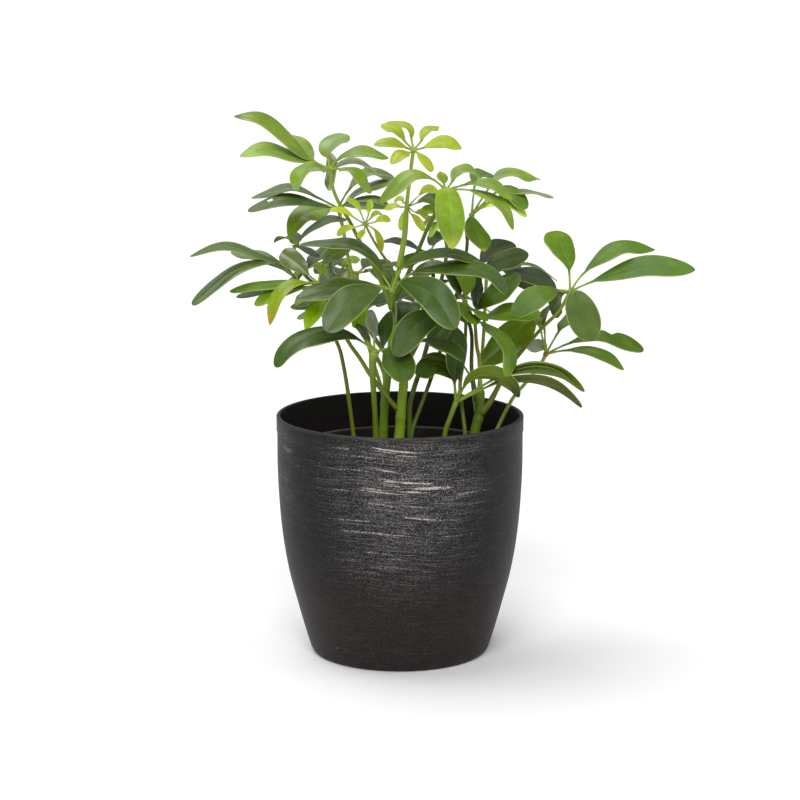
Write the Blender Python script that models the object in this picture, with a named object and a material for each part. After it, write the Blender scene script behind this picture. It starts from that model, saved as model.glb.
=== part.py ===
import math
import random

import bmesh
import bpy
from mathutils import Vector

MM = 0.001
GAP = 0.3 * MM  # air between touching pieces

# cover pot
POT_HEIGHT = 145 * MM
POT_RADIUS = 74 * MM
POT_WALL = 2.4 * MM
POT_FLOOR = 3.0 * MM
POT_LIP = 0.5 * MM  # the rim's chamfer
FOOT_RADIUS = 50 * MM
# radius, height
POT_SIDE = [(52.5, 1), (54.4, 3.6), (57, 12), (62, 30), (67.5, 52), (71.4, 78), (73.8, 108)]
POT_SIDES = 36

# nursery pot
LINER_RIM_HEIGHT = 125 * MM
LINER_RIM_RADIUS = 64 * MM
LINER_RADIUS = 61 * MM
LINER_FOOT_RADIUS = 42 * MM
LINER_WALL = 1.0 * MM
LINER_ROLL = 3.0 * MM  # height of the rolled rim
LINER_SIDES = 28
DRAIN_HOLES = 5
DRAIN_RADIUS = 4 * MM
DRAIN_RING = 26 * MM
DRAIN_SIDES = 10

# soil
SOIL_TOP = 117 * MM
SOIL_CROWN = [(1, -1.5), (0.92, 0), (0.62, 1), (0.3, 1.5), (0, 1)]  # share of the radius, mm over the top
SOIL_ROUGH = 0.8 * MM
SOIL_SIDES = LINER_SIDES
ROOT_DEPTH = 26 * MM
ROOT_BEND = 6 * MM  # below this depth a root runs straight down

# the front elevation that the plant is drawn on: its zero is the middle of the pot's rim,
# across and up are in mm as seen from the eye, and back is mm behind the pot's axis
EYE_DISTANCE = 1411 * MM
EYE_ABOVE_RIM = 277.4 * MM
EYE_PITCH = math.radians(10.8)
DRAWING_DISTANCE = 1440 * MM
RIM_BELOW_SIGHT = 8.1 * MM

EYE = Vector((0, -EYE_DISTANCE, POT_HEIGHT + EYE_ABOVE_RIM))
AHEAD = Vector((0, math.cos(EYE_PITCH), -math.sin(EYE_PITCH)))
UPWARD = Vector((0, math.sin(EYE_PITCH), math.cos(EYE_PITCH)))
RIGHT = Vector((1, 0, 0))

# leaflets: their outline is widest past its middle and blunt at its tip
BLADE_THICK = 0.7 * MM
BLADE_ROWS = (0.22, 0.52, 0.82, 1.0)
SMALL_ROWS = (0.4, 0.8, 1.0)
SMALL_WIDTH = 14.5 * MM
WIDEST_LATE = 1.35
FULLNESS = 0.7
TIP_SHARE = 0.3
FOLD = 0.12  # rise of a blade's edges over its midrib, as a share of its half width
EDGE_ON = 0.15  # the least that a blade is turned towards the eye
STALKLET_HALF = 0.65 * MM
STALKLET_RUN = 0.15  # share of a leaflet's depth that its stalklet takes up
ROOT_START = 1.2 * MM  # how far from the knob's middle a stalklet starts

# stems and stalks
STEM_ROWS = 8
STALK_ROWS = 6
STALK_RADIUS = 1.4
STALK_TAPER = 0.72
KNOB = 1.8  # radius of a knob over its stalk's

TONES = {
    "fresh": (0.13, 0.30, 0.045),
    "dark": (0.055, 0.15, 0.04),
    "lime": (0.36, 0.50, 0.06),
    "light": (0.20, 0.38, 0.04),
}

# stem: points from the soil up (across, up, back), radii at its ends, and where it enters the soil
STEMS = {
    "stem_left": dict(
        foot=(-10, 0), radius=(3.0, 1.9),
        points=[(-10, -12, 0), (-9, 8, 0), (-7, 26, 0), (-4, 53, 0), (-4, 73, 0), (-1, 88, 0)]),
    "stem_centre": dict(
        foot=(-2, -12), radius=(3.2, 2.0),
        points=[(-1.5, -10, -12), (-1, 1, -12), (0.5, 11, -10), (2, 19, -8), (2.5, 25, -6)]),
    "stem_right": dict(
        foot=(43.5, -5), radius=(3.4, 2.5),
        points=[(45, -11, -4), (47.8, 0, -3), (48, 8, -2), (48, 17, 0)]),
}

# leaf: tone, true width of its leaflets, stalk from the knob down, and where the stalk starts: a stem, or a
# place in the soil (x, back).
# leaflet: end of its stalklet, points along its midrib, tip (across, up), how far its tip lies behind the
# knob, and the width that the drawing shows, negative where that is the underside and two widths where the
# blade twists
LEAVES = {
    "leaf_high_left": dict(
        tone="fresh", width=17, root="stem_left",
        stalk=[(-41.5, 146.5, -20), (-40.5, 136, -18), (-36, 125, -16), (-30, 115, -11), (-25, 105, -6),
               (-14, 85, -2), (-5, 63, 0)],
        leaflets=[
            [(-54.5, 152), (-69, 165.5), (-84, 176.5), (-99.5, 178), -10, 8],
            [(-52, 152), (-60, 161), (-68, 167), 30, 8.5],
            [(-53, 150), (-79, 158), (-96, 154), -15, 8],
            [(-44, 146.5), (-51.5, 147.5), (-59, 143), (-61.3, 133.5), -35, 8.5],
            [(-43.5, 153.5), (-41, 161), (-33.5, 167.5), 25, 11],
            [(-38, 152), (-24, 157), (-7, 153), 5, 6],
            [(-38, 148.5), (-27, 150.5), (-15.5, 146), 22, 4],
            [(-37, 147), (-27, 144), (-19, 132), -25, 6],
            [(-43.5, 154), (-42, 147), (-40.3, 136), 45, 9],
        ]),
    "leaf_high_left_back": dict(
        tone="dark", width=17, root=(-15, 14),
        stalk=[(-37, 123, 30), (-34, 110, 28), (-31, 93, 25), (-23, 62, 20), (-17, 32, 16), (-15, -12, 14)],
        leaflets=[
            [(-50, 130), (-66, 135), (-89, 129), 5, 5],
            [(-43, 124), (-69, 128), (-91, 121), -15, 7],
            [(-31, 134), (-19, 144), (-4, 142), 20, 6],
            [(-33, 126), (-22, 134), (-1, 140), 10, 5],
            [(-33, 125), (-20, 127), (-7, 124), -10, 8.5],
        ]),
    "leaf_young_left": dict(
        tone="lime", width=5, root="stem_left", thick=1.0,
        stalk=[(-21, 113.5, -24), (-16, 104, -21), (-11, 96, -17), (-5, 87, -9), (-2.5, 78, 0)],
        leaflets=[
            [(-28, 118), (-35, 122), (-42, 122), 0, 3.5],
            [(-23.5, 120.5), (-27, 126), (-32, 129), 6, 3.5],
            [(-19, 119.5), (-18, 124), (-18.5, 128), 10, 4],
            [(-17.5, 117.5), (-14, 120), (-11.5, 120), 10, 3],
            [(-15, 115), (-10, 117), (-6, 115.5), 3, 4],
            [(-16, 111), (-12.5, 105), (-11.5, 97), -6, 4],
            [(-21.5, 110.5), (-23, 108), (-23.5, 105), -10, 4],
            [(-27, 112), (-33, 111), (-38, 107.5), 8, 4],
        ]),
    "leaf_mid_left_back": dict(
        tone="dark", width=17, root="stem_left",
        stalk=[(-62, 102, 20), (-64, 96, 21), (-58, 84, 23), (-43, 71, 20), (-24, 57, 13), (-13, 42, 6),
               (-5.5, 32, 0)],
        leaflets=[
            [(-66, 104), (-59, 118), (-42, 124), 25, 12],
            [(-61, 104), (-46, 115), (-32, 116), 0, 4.5],
            [(-64, 103), (-67, 105), (-70, 105), 38, 6],
            [(-61, 101), (-57, 98.5), (-53, 95), -32, 6],
        ]),
    "leaf_young_centre": dict(
        tone="lime", width=5, root="stem_left", thick=1.0,
        stalk=[(4.5, 124, 8), (4, 110, 8), (2, 97, 6), (0, 86, 4), (-3, 79, 0)],
        leaflets=[
            [(2, 127), (0, 128.5), (-3, 128), 10, 3.5],
            [(0.5, 124), (-4, 124.5), (-9, 122.5), 3, 3.5],
            [(2.5, 121), (1.5, 116), (0.5, 110), 2, 4],
            [(6.5, 120), (10, 116.5), (14.5, 109.5), -4, 4.5],
            [(11, 130.5), (16.5, 135), (22.5, 133), 12, 5],
            [(12, 127), (18, 127), (24, 122), 5, 3.5],
            [(9, 121), (13, 121), (17, 117), 0, 4],
        ]),
    "leaf_top": dict(
        tone="lime", width=9.5, root="stem_left", thick=1.45,
        stalk=[(8, 158, -3), (6, 142, -3), (4, 125, -2), (2, 104, -1), (-0.6, 90, 0), (-1.1, 87.5, 0)],
        leaflets=[
            [(4, 159.5), (-5, 162.5), (-15.5, 161), -8, 5.5],
            [(3, 163.5), (-3, 170), (-11, 173), 12, 5.5],
            [(7, 165), (4, 171.5), (-8, 174.5), 22, 4.5],
            [(12.5, 163.5), (16.5, 169.5), (23.3, 171.8), 15, 5],
            [(14, 159.5), (26, 163), (37, 158.7), -4, 7.4],
            [(10.5, 156.5), (15, 151.5), (18, 145), -18, 5.5],
            [(6, 157), (0.5, 155.5), (-4.5, 150), -18, 6.5],
        ]),
    "leaf_high_right": dict(
        tone="fresh", width=17, root="stem_left",
        stalk=[(27.5, 134, -25), (20, 118, -20), (16, 110, -17), (11, 98, -12), (2, 78, -4), (-4, 68, 0)],
        leaflets=[
            [(28, 134.5), (30, 118), (31.5, 98.5), -28, 16.5],
            [(19, 141), (6, 142), (-12, 126), -12, 8.5],
            [(27, 139), (25.5, 142.5), (24.5, 146.5), -10, 6],
            [(31, 139.5), (36, 146.5), (42, 147.5), (48, 144.5), 14, 6],
            [(39, 137.5), (49, 138.5), (58, 135.5), (67, 128), -5, 6],
            [(41, 134.5), (53, 130.2), (63, 122), (67.5, 110.5), -22, 6],
        ]),
    "leaf_high_right_back": dict(
        tone="dark", width=17, root=(6, -16),
        stalk=[(43, 119, 14), (40, 109, 13), (40, 98, 12), (33, 68, 8), (24, 37, 2), (17, 16.5, -5),
               (11, 0.5, -11), (7, -12, -15)],
        leaflets=[
            [(43, 118.5), (45.5, 109.5), (50.3, 97), -25, 12.5],
            [(50, 124), (65, 127.5), (76, 118), 2, 7],
            [(45, 138), (50, 142.5), (55.5, 143), 34, 8],
            [(55, 137.5), (66, 143.8), (82.5, 141.3), 22, 6.5],
            [(58, 133), (68, 131), (76, 123), -2, 9.5],
            [(58, 130), (75, 133), (92, 130), 12, 3.5],
        ]),
    "leaf_high_centre_back": dict(
        tone="dark", width=14, root="stem_centre",
        stalk=[(28, 122, 16), (27, 107, 10), (28, 96, 5), (22, 70, 0), (12, 45, -2), (5, 31, -4),
               (2.3, 22, -7)],
        leaflets=[
            [(24, 121), (18, 122), (11.5, 120.5), 4, 5.5],
            [(25, 126), (18, 129.8), (12, 128.5), 14, 4.5],
            [(24.5, 118), (19.5, 116.5), (14, 112.5), -2, 4],
            [(26, 117), (21.5, 113), (18.5, 106), -8, 5],
        ]),
    "leaf_centre_front": dict(
        tone="dark", width=20, root="stem_left",
        stalk=[(-5, 74, -30), (-4, 66, -20), (-4, 58, -8), (-4, 54, 0)],
        leaflets=[
            [(-10, 83), (-18, 95), (-33, 101.5), (-60, 101), 12, (9.5, 4)],
            [(-15, 77), (-39, 75), (-61, 69), -2, 11],
            [(-11, 75), (-30, 67), (-44, 49), -25, 19],
            [(2, 88), (27, 96), (48, 91), 10, 6.5],
            [(7, 84), (33, 87), (54, 83.5), (64, 71.5), -5, (8, 9.5)],
            [(-1, 79), (19, 72), (33, 51), -28, 19],
        ]),
    "leaf_centre_low": dict(
        tone="dark", width=19, root=(38, -14),
        stalk=[(39, 67, -14), (39.5, 55, -12), (39, 41, -8), (38, 31, -4), (36, 17, -5), (37, 5, -8),
               (39, -12, -13)],
        leaflets=[
            [(27, 60.5), (10, 53), (-2, 34), -38, 17],
            [(39, 69), (38.8, 79), (37.5, 93), 14, 11.5],
            [(38.5, 65), (40, 60.5), (44, 53.5), -14, 8.5],
            [(43, 63), (47, 60), (50.5, 55.5), -8, 5],
            [(36, 71), (32, 80), (29.5, 89), 12, 8],
            [(34, 61), (26, 52), (17.5, 41), -2, 11],
        ]),
    "leaf_right_upper_back": dict(
        tone="dark", width=19, root="stem_right",
        stalk=[(38, 82.5, 20), (39.5, 62, 17), (43, 47, 14), (43, 26, 8), (46, 8, -1)],
        leaflets=[
            [(48, 90), (58, 98), (68, 102), 18, 13],
            [(50, 87), (64, 92), (77, 95), -3, 12],
            [(33, 84), (20, 88), (8, 82), 0, 8],
            [(30, 80), (6, 75), (-19.5, 66), 8, 9],
        ]),
    "leaf_right_mid": dict(
        tone="dark", width=19, root="stem_right",
        stalk=[(45, 55.5, 4), (46, 41, 3), (47.5, 33, 2), (48, 21, 0), (48, 15, 0)],
        leaflets=[
            [(46, 62), (58, 72), (72, 83), 2, 13],
            [(50, 57), (66, 60.5), (84, 60), 6, 11],
            [(48, 55), (59, 46.5), (64.5, 35), (62.3, 23.7), -50, 9],
            [(45.5, 63), (46.5, 73), (46.5, 83), 10, 7],
        ]),
    "leaf_right_low_back": dict(
        tone="dark", width=21, root="stem_right",
        stalk=[(43, 21, 28), (44, 14, 20), (45, 6, 8), (46, 1, -2)],
        leaflets=[
            [(47, 27), (64, 42), (80, 58), 12, 20],
            [(38, 30), (33, 43), (29.5, 56), 2, 10],
        ]),
    "leaf_far_right": dict(
        tone="fresh", width=19, root="stem_right",
        stalk=[(102, 73, -14), (95, 61, -16), (84, 50, -12), (68, 31, 0), (60, 18, 0), (54, 7, -2),
               (48, 0, -3)],
        leaflets=[
            [(101.5, 85.5), (98, 97), (91, 109), 18, 14.5],
            [(111, 85), (132, 100), (153, 97), 15, 9],
            [(115, 79), (145, 91), (177, 85.5), -10, 12.5],
            [(104.5, 73.5), (108.5, 62), (115.3, 43.5), -28, 18.8],
            [(95, 74), (82, 70), (69, 58), -22, 14],
            [(94, 74), (80, 81.5), (66, 86), 47, 11],
            [(98, 72), (95, 68), (91, 60), 10, 11],
        ]),
    "leaf_right_low": dict(
        tone="fresh", width=16, root=(51, 4),
        stalk=[(87.5, 35.5, 12), (84.6, 30, 12), (76, 19, 10), (67, 8, 7), (57, -12, 4)],
        leaflets=[
            [(101, 42), (122, 46), (146, 38), 8, 8.5],
            [(100, 38), (119, 36), (134, 26), -12, 6.5],
            [(95, 49), (102, 56), (112, 66), 22, 8],
            [(86.5, 52.5), (87, 59), (90, 65), 26, 7],
            [(84, 52), (80, 57), (76, 60), 14, 7],
            [(88, 38.5), (82.5, 40.5), (77, 43), 8, 9],
        ]),
    "leaf_front_low": dict(
        tone="dark", width=18, root=(25, -22), thick=2.0,
        stalk=[(33.5, 6.5, -18), (30, -3, -20), (27, -12, -21)],
        leaflets=[
            [(54, 19.5), (70, 25.3), (84, 27), (98, 23.5), (110.4, 12.9), -5, -6.5],
            [(53, 16.5), (67, 20.3), (82, 19.7), (96, 15.5), (109, 3.5), -20, -5.5],
            [(38, 15.5), (45, 22.5), (57, 23.3), (67, 17.5), (71.5, 10), -20, -8.5],
            [(32, 20), (23, 29), (9, 25), 8, 14],
            [(33, 19), (33.5, 35), (32.5, 51), -6, 13],
            [(36, 19.5), (28.5, 29), (13, 32), 12, -4.5],
            [(58, 22), (78, 29.3), (96, 26.8), (109.5, 14.5), 1, 3.5],
        ]),
    "leaf_left_low": dict(
        tone="dark", width=19, root=(-14, -21), thick=1.9,
        stalk=[(-15.5, 37, -28), (-16.5, 29, -27), (-16, 15, -24), (-15, 0, -22), (-14.5, -12, -21)],
        leaflets=[
            [(-10.5, 39.5), (-8, 52), (-6, 61), 8, 8.5],
            [(13, 43.5), (22, 42.5), (31, 38), (38, 31), -16, 8],
            [(-9.5, 37.5), (-1.5, 31), (2, 18.5), -32, 18.5],
            [(-24, 44), (-38, 47.6), (-57, 44.5), (-68, 37), (-74, 27.5), -18, 11],
            [(-15.5, 46), (-17, 52), (-16, 61), 14, 8],
            [(-18, 43), (-21.5, 48), (-26, 54), 4, 5],
        ]),
    "leaf_far_left": dict(
        tone="dark", width=16, root=(-26, 0),
        stalk=[(-62, 79.5, 5), (-52, 68, 4), (-38, 43, 1), (-34, 29, 0), (-31, 11, 0), (-28, -12, 0)],
        leaflets=[
            [(-70, 88), (-104, 100), (-126, 94), 8, 5],
            [(-66, 84), (-82, 93), (-101, 97), 28, 6.5],
            [(-72, 90), (-98, 86), (-124.5, 65), -10, 7],
            [(-61, 82), (-60, 86), (-59, 89), 8, 5],
            [(-55, 88.5), (-48, 95.5), (-41, 102.5), 34, 8],
        ]),
    "leaf_left_fresh": dict(
        tone="light", width=12, root="stem_centre",
        stalk=[(-49, 78, -10), (-40, 60, -10), (-31, 43, -10), (-24, 33, -10), (-17, 22, -11), (-7, 9, -12),
               (-1, 2, -12)],
        leaflets=[
            [(-54.5, 83), (-61.5, 90), (-71, 96.5), 5, 12],
            [(-56, 78.5), (-83, 76.3), (-102, 73), 4, 5.5],
            [(-56, 78), (-80, 74), (-98, 70), 16, 5],
            [(-56, 76), (-73, 73), (-87, 65), -3, 8],
            [(-55, 78.5), (-66, 77), (-74, 69), (-78, 53), -14, 7.5],
            [(-52, 75), (-57, 71), (-62, 65), -10, 5],
            [(-48, 71), (-55, 65), (-65.5, 64), 6, 5],
            [(-45, 70), (-51.5, 60.5), (-56.8, 49.3), -14, 10],
            [(-46, 69), (-52, 61), (-61.5, 57.5), 12, 4.5],
            [(-27, 71), (-22.5, 62), (-27.5, 51.5), -4, 8],
            [(-46, 90.5), (-39, 96), (-31, 101.5), 30, 9],
        ]),
    "leaf_left_inner": dict(
        tone="light", width=10, root="stem_left",
        stalk=[(-38, 79.5, 31), (-30, 60, 31), (-12, 30, 22), (-8.5, 17, 0)],
        leaflets=[
            [(-44, 83), (-47.3, 87.5), (-51.5, 90.5), 4, 4.5],
            [(-34.5, 87.5), (-30, 91.7), (-24.3, 92.5), 4, 5],
            [(-43, 82), (-46, 85), (-49, 88), 14, 5],
            [(-39.5, 83), (-40.5, 86), (-40, 89), 18, 5],
            [(-36, 78), (-30, 82), (-26, 80), 15, 6],
        ]),
    "leaf_centre_back": dict(
        tone="dark", width=17, root=(6, -8), thick=1.7,
        stalk=[(18.5, 97, 42), (20, 80, 40), (18, 50, 28), (13, 29, 8), (9, 17, -4), (5.8, 4, -7),
               (6, -12, -8)],
        leaflets=[
            [(13, 98), (0, 103), (-9.5, 103.5), 8, 4],
            [(14, 97), (8, 93), (2, 87), -12, 8],
            [(20, 101), (24, 105), (30, 104), 30, 8],
        ]),
}

# leaves on the far side, spread evenly round their knobs
FAR_LEAVES = {
    "leaf_back_left": dict(
        foot=(-10, 30), count=6, turn=5,
        stalk=[(-26, 84, 82), (-20, 45, 58), (-10, 10, 36), (-10, -12, 30)]),
    "leaf_back_centre": dict(
        foot=(-0.5, 34), count=6, turn=10,
        stalk=[(14, 64, 84), (9, 45, 66), (1, 11, 42), (-0.5, -12, 34)]),
    "leaf_back_right": dict(
        foot=(43, 22), count=6, turn=5,
        stalk=[(52, 84, 66), (50, 45, 50), (47, 8, 28), (44, -12, 22)]),
}
FAR_LENGTH = 44 * MM
FAR_WIDTH = 18 * MM
FAR_ARCH = ((0.2, 0.05), (0.6, 0.12), (1.0, -0.12))  # reach and rise, as shares of the length


def clear_scene():
    for thing in list(bpy.data.objects):
        bpy.data.objects.remove(thing, do_unlink=True)


def material(name, colour, roughness, metallic=0.0):
    made = bpy.data.materials.new(name)
    made.use_nodes = True
    shader = made.node_tree.nodes["Principled BSDF"]
    shader.inputs["Base Color"].default_value = (*colour, 1)
    shader.inputs["Roughness"].default_value = roughness
    shader.inputs["Metallic"].default_value = metallic
    return made


def link(name, bm, finish=None):
    mesh = bpy.data.meshes.new(name)
    bm.to_mesh(mesh)
    bm.free()
    made = bpy.data.objects.new(name, mesh)
    bpy.context.scene.collection.objects.link(made)
    if finish:
        made.data.materials.append(finish)
    return made


def place(across, up, back):
    # the point that is drawn at across, up and lies back behind the pot's axis
    ray = RIGHT * across * MM + UPWARD * (up * MM - RIM_BELOW_SIGHT) + AHEAD * DRAWING_DISTANCE
    return EYE + ray * ((back * MM + EYE_DISTANCE) / ray.y)


class Path:
    # a smooth curve through its knots, read by its share of the length
    STEPS = 12

    def __init__(self, knots):
        knots = [Vector(k) for k in knots]
        self.knots = knots
        ends = [2 * knots[0] - knots[1], *knots, 2 * knots[-1] - knots[-2]]
        self.points = [knots[0]]
        self.knot_shares = [0.0]
        run = [0.0]
        for before, start, end, after in zip(ends, ends[1:], ends[2:], ends[3:]):
            for step in range(1, self.STEPS + 1):
                t = step / self.STEPS
                point = (start * 2 + (end - before) * t
                         + (before * 2 - start * 5 + end * 4 - after) * t ** 2
                         + (start * 3 - before - end * 3 + after) * t ** 3) / 2
                run.append(run[-1] + (point - self.points[-1]).length)
                self.points.append(point)
            self.knot_shares.append(run[-1])
        self.length = run[-1]
        self.shares = [r / self.length for r in run]
        self.knot_shares = [r / self.length for r in self.knot_shares]

    def at(self, share):
        for index in range(1, len(self.shares)):
            if share <= self.shares[index] or index == len(self.shares) - 1:
                low, high = self.shares[index - 1], self.shares[index]
                return self.points[index - 1].lerp(self.points[index], (share - low) / (high - low))

    def tangent(self, share):
        return (self.at(min(share + 0.03, 1)) - self.at(max(share - 0.03, 0))).normalized()


def tube(name, path, radii, rows, sides_level, finish=None):
    # a round rod along a path, its radius easing from the first to the last
    curve = bpy.data.curves.new(name, "CURVE")
    curve.dimensions = "3D"
    curve.bevel_depth = 1
    curve.bevel_resolution = sides_level
    curve.use_fill_caps = True
    spline = curve.splines.new("POLY")
    spline.points.add(rows)
    for row, point in enumerate(spline.points):
        share = row / rows
        point.co = (*path.at(share), 1)
        point.radius = radii[0] + (radii[1] - radii[0]) * share
    drawn = bpy.data.objects.new(name, curve)
    bpy.context.scene.collection.objects.link(drawn)
    bpy.context.view_layer.update()
    mesh = bpy.data.meshes.new_from_object(drawn.evaluated_get(bpy.context.evaluated_depsgraph_get()))
    bpy.data.objects.remove(drawn)
    bm = bmesh.new()
    bm.from_mesh(mesh)
    bpy.data.meshes.remove(mesh)
    bmesh.ops.remove_doubles(bm, verts=bm.verts, dist=1e-6)
    bmesh.ops.recalc_face_normals(bm, faces=bm.faces)
    return link(name, bm, finish)


def turned(name, profile, sides, finish=None):
    # a closed outline of (radius, height) turned round the pot's axis
    bm = bmesh.new()
    verts = [bm.verts.new((radius, 0, height)) for radius, height in profile]
    edges = [bm.edges.new(pair) for pair in zip(verts, verts[1:])]
    bmesh.ops.spin(bm, geom=verts + edges, cent=(0, 0, 0), axis=(0, 0, 1),
                   angle=math.tau, steps=sides, use_merge=True)
    bmesh.ops.remove_doubles(bm, verts=bm.verts, dist=1e-6)
    bmesh.ops.recalc_face_normals(bm, faces=bm.faces)
    return link(name, bm, finish)


def boolean(target, operation, other=None, many=None, solver="EXACT"):
    # one Boolean, applied
    modifier = target.modifiers.new(operation.lower(), "BOOLEAN")
    modifier.operation = operation
    modifier.solver = solver
    if many:
        modifier.operand_type = "COLLECTION"
        modifier.collection = many
    else:
        modifier.object = other
    bpy.context.view_layer.update()
    result = bpy.data.meshes.new_from_object(
        target.evaluated_get(bpy.context.evaluated_depsgraph_get()), preserve_all_data_layers=False)
    target.modifiers.clear()
    target.data = result


def joined(target, extras):
    # extras become one body with target
    bunch = bpy.data.collections.new(target.name + "_extras")
    bpy.context.scene.collection.children.link(bunch)
    for extra in extras:
        bpy.context.scene.collection.objects.unlink(extra)
        bunch.objects.link(extra)
    boolean(target, "UNION", many=bunch, solver="MANIFOLD")
    for extra in extras:
        bpy.data.objects.remove(extra)
    bpy.data.collections.remove(bunch)


def cover_pot():
    side = [(radius * MM, height * MM) for radius, height in POT_SIDE]
    inside = [(radius - POT_WALL, height) for radius, height in reversed(side[2::2])]
    profile = [
        (0, 0), (FOOT_RADIUS, 0), *side,
        (POT_RADIUS, POT_HEIGHT - POT_LIP), (POT_RADIUS - POT_LIP, POT_HEIGHT),
        (POT_RADIUS - POT_WALL + POT_LIP, POT_HEIGHT), (POT_RADIUS - POT_WALL, POT_HEIGHT - POT_LIP),
        *inside, (FOOT_RADIUS, POT_FLOOR), (0, POT_FLOOR),
    ]
    pot = turned("cover_pot", profile, POT_SIDES, material("pot charcoal", (0.028, 0.026, 0.026), 0.5))
    pot.data.shade_smooth()


def liner_radius(height):
    # outer radius of the nursery pot's tapering side
    share = height / LINER_RIM_HEIGHT
    return LINER_FOOT_RADIUS + (LINER_RADIUS - LINER_FOOT_RADIUS) * share


def nursery_pot():
    foot = POT_FLOOR + GAP
    under_rim = LINER_RIM_HEIGHT - LINER_ROLL
    profile = [
        (0, foot), (LINER_FOOT_RADIUS, foot), (liner_radius(under_rim), under_rim),
        (LINER_RIM_RADIUS, under_rim), (LINER_RIM_RADIUS, LINER_RIM_HEIGHT),
        (LINER_RADIUS - LINER_WALL, LINER_RIM_HEIGHT),
        (LINER_FOOT_RADIUS - LINER_WALL, foot + LINER_WALL), (0, foot + LINER_WALL),
    ]
    pot = turned("nursery_pot", profile, LINER_SIDES, material("nursery plastic", (0.02, 0.017, 0.016), 0.5))
    bm = bmesh.new()
    for hole in range(DRAIN_HOLES):
        turn = math.tau * hole / DRAIN_HOLES
        drill = bmesh.ops.create_cone(bm, cap_ends=True, segments=DRAIN_SIDES, radius1=DRAIN_RADIUS,
                                      radius2=DRAIN_RADIUS, depth=4 * LINER_WALL)
        where = (DRAIN_RING * math.cos(turn), DRAIN_RING * math.sin(turn), foot)
        bmesh.ops.translate(bm, verts=drill["verts"], vec=where)
    drills = link("drain_drill", bm)
    boolean(pot, "DIFFERENCE", drills)
    bpy.data.objects.remove(drills)


def soil(rods):
    bottom = POT_FLOOR + LINER_WALL + 2 * GAP
    clear = LINER_WALL + 1.2 * GAP
    top_radius = liner_radius(SOIL_TOP) - clear
    crown = [(top_radius * share, SOIL_TOP + rise * MM) for share, rise in SOIL_CROWN]
    profile = [(0, bottom), (liner_radius(bottom) - clear - GAP, bottom), *crown]
    block = turned("soil", profile, SOIL_SIDES, material("soil", (0.035, 0.025, 0.018), 0.95))
    draw = random.Random(4)
    bm = bmesh.new()
    bm.from_mesh(block.data)
    for vert in bm.verts:
        if vert.co.z > SOIL_TOP - GAP:
            vert.co.z += draw.uniform(-SOIL_ROUGH, SOIL_ROUGH)
    bmesh.ops.triangulate(bm, faces=bm.faces)
    bm.to_mesh(block.data)
    bm.free()
    for rod in rods:
        boolean(block, "DIFFERENCE", rod)


def footed(points, foot):
    # the drawn points, carried on down into the soil
    x, back = foot[0] * MM, foot[1] * MM
    heights = (SOIL_TOP + 2.5 * MM, SOIL_TOP - ROOT_BEND, SOIL_TOP - ROOT_DEPTH)
    return [*points, *(Vector((x, back, height)) for height in heights)]


def stem(name, plan, finish):
    points = [place(*p) for p in plan["points"]]
    path = Path(list(reversed(footed(list(reversed(points)), plan["foot"]))))
    radii = [r * MM for r in plan["radius"]]
    tube(name, path, radii, STEM_ROWS, 2, finish)
    return room_round(name, path, radii, STEM_ROWS, 2)


def room_round(name, path, radii, rows, sides_level):
    # a hidden rod that stands the gap outside a piece, to cut what meets it
    knots = list(path.knots)
    knots[0] -= path.tangent(0) * GAP
    knots[-1] += path.tangent(1) * GAP
    room = tube(name + "_room", Path(knots), [r + GAP for r in radii], rows, sides_level)
    room.hide_render = True
    room.display_type = "WIRE"
    return room


def leaflet(knots, width, across):
    # one thin arched blade on its stalklet, across(tangent, point) giving the direction over the blade
    path = Path(knots)
    stalk = path.knot_shares[1]
    small = width < SMALL_WIDTH
    blade_rows = SMALL_ROWS if small else BLADE_ROWS
    columns = 1 if small else 2
    shares = [ROOT_START / path.length, stalk] + [stalk + (1 - stalk) * row for row in blade_rows]
    halves = [STALKLET_HALF, STALKLET_HALF]
    for row in blade_rows:
        swell = abs(math.sin(math.pi * row ** WIDEST_LATE)) ** FULLNESS
        halves.append(width / 2 * max(swell, TIP_SHARE))
    rows = len(shares) - 1
    bm = bmesh.new()
    bmesh.ops.create_grid(bm, x_segments=columns, y_segments=rows, size=1)
    for vert in bm.verts:
        side = vert.co.x
        row = round((vert.co.y + 1) / 2 * rows)
        share, half = shares[row], halves[row]
        tangent = path.tangent(share)
        over = across(tangent, path.at(share))
        lift = tangent.cross(over) * abs(side) * half * FOLD
        vert.co = path.at(share) + over * side * half + lift
    bmesh.ops.triangulate(bm, faces=bm.faces)
    bmesh.ops.solidify(bm, geom=bm.faces, thickness=BLADE_THICK)
    bmesh.ops.recalc_face_normals(bm, faces=bm.faces)
    return link("leaflet", bm)


def seen_across(seen, width, knots):
    # the direction over a blade that makes it look seen wide from the eye, its upper face up
    first, last = seen if isinstance(seen, tuple) else (seen, seen)
    along = knots[-1] - knots[1]
    level = along.cross(knots[-1] - EYE)
    side = -1 if level.z > 0 else 1

    def across(tangent, point):
        share = min((point - knots[1]).length / along.length, 1)
        turn = max(min(abs(first + (last - first) * share) / width, 1), EDGE_ON)
        level_here = tangent.cross((point - EYE).normalized()).normalized()
        face = math.copysign(turn, first)
        lean = math.sqrt(1 - turn ** 2) * side
        return (level_here * face + tangent.cross(level_here) * lean).normalized()

    return across


def drawn_leaflet(plan, knob, width):
    *points, depth, seen = plan
    knots = [place(*knob)]
    for index, (across, up) in enumerate(points):
        share = STALKLET_RUN + (1 - STALKLET_RUN) * index / (len(points) - 1)
        knots.append(place(across, up, knob[2] + depth * share))
    return leaflet(knots, width * MM, seen_across(seen, width, knots))


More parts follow.
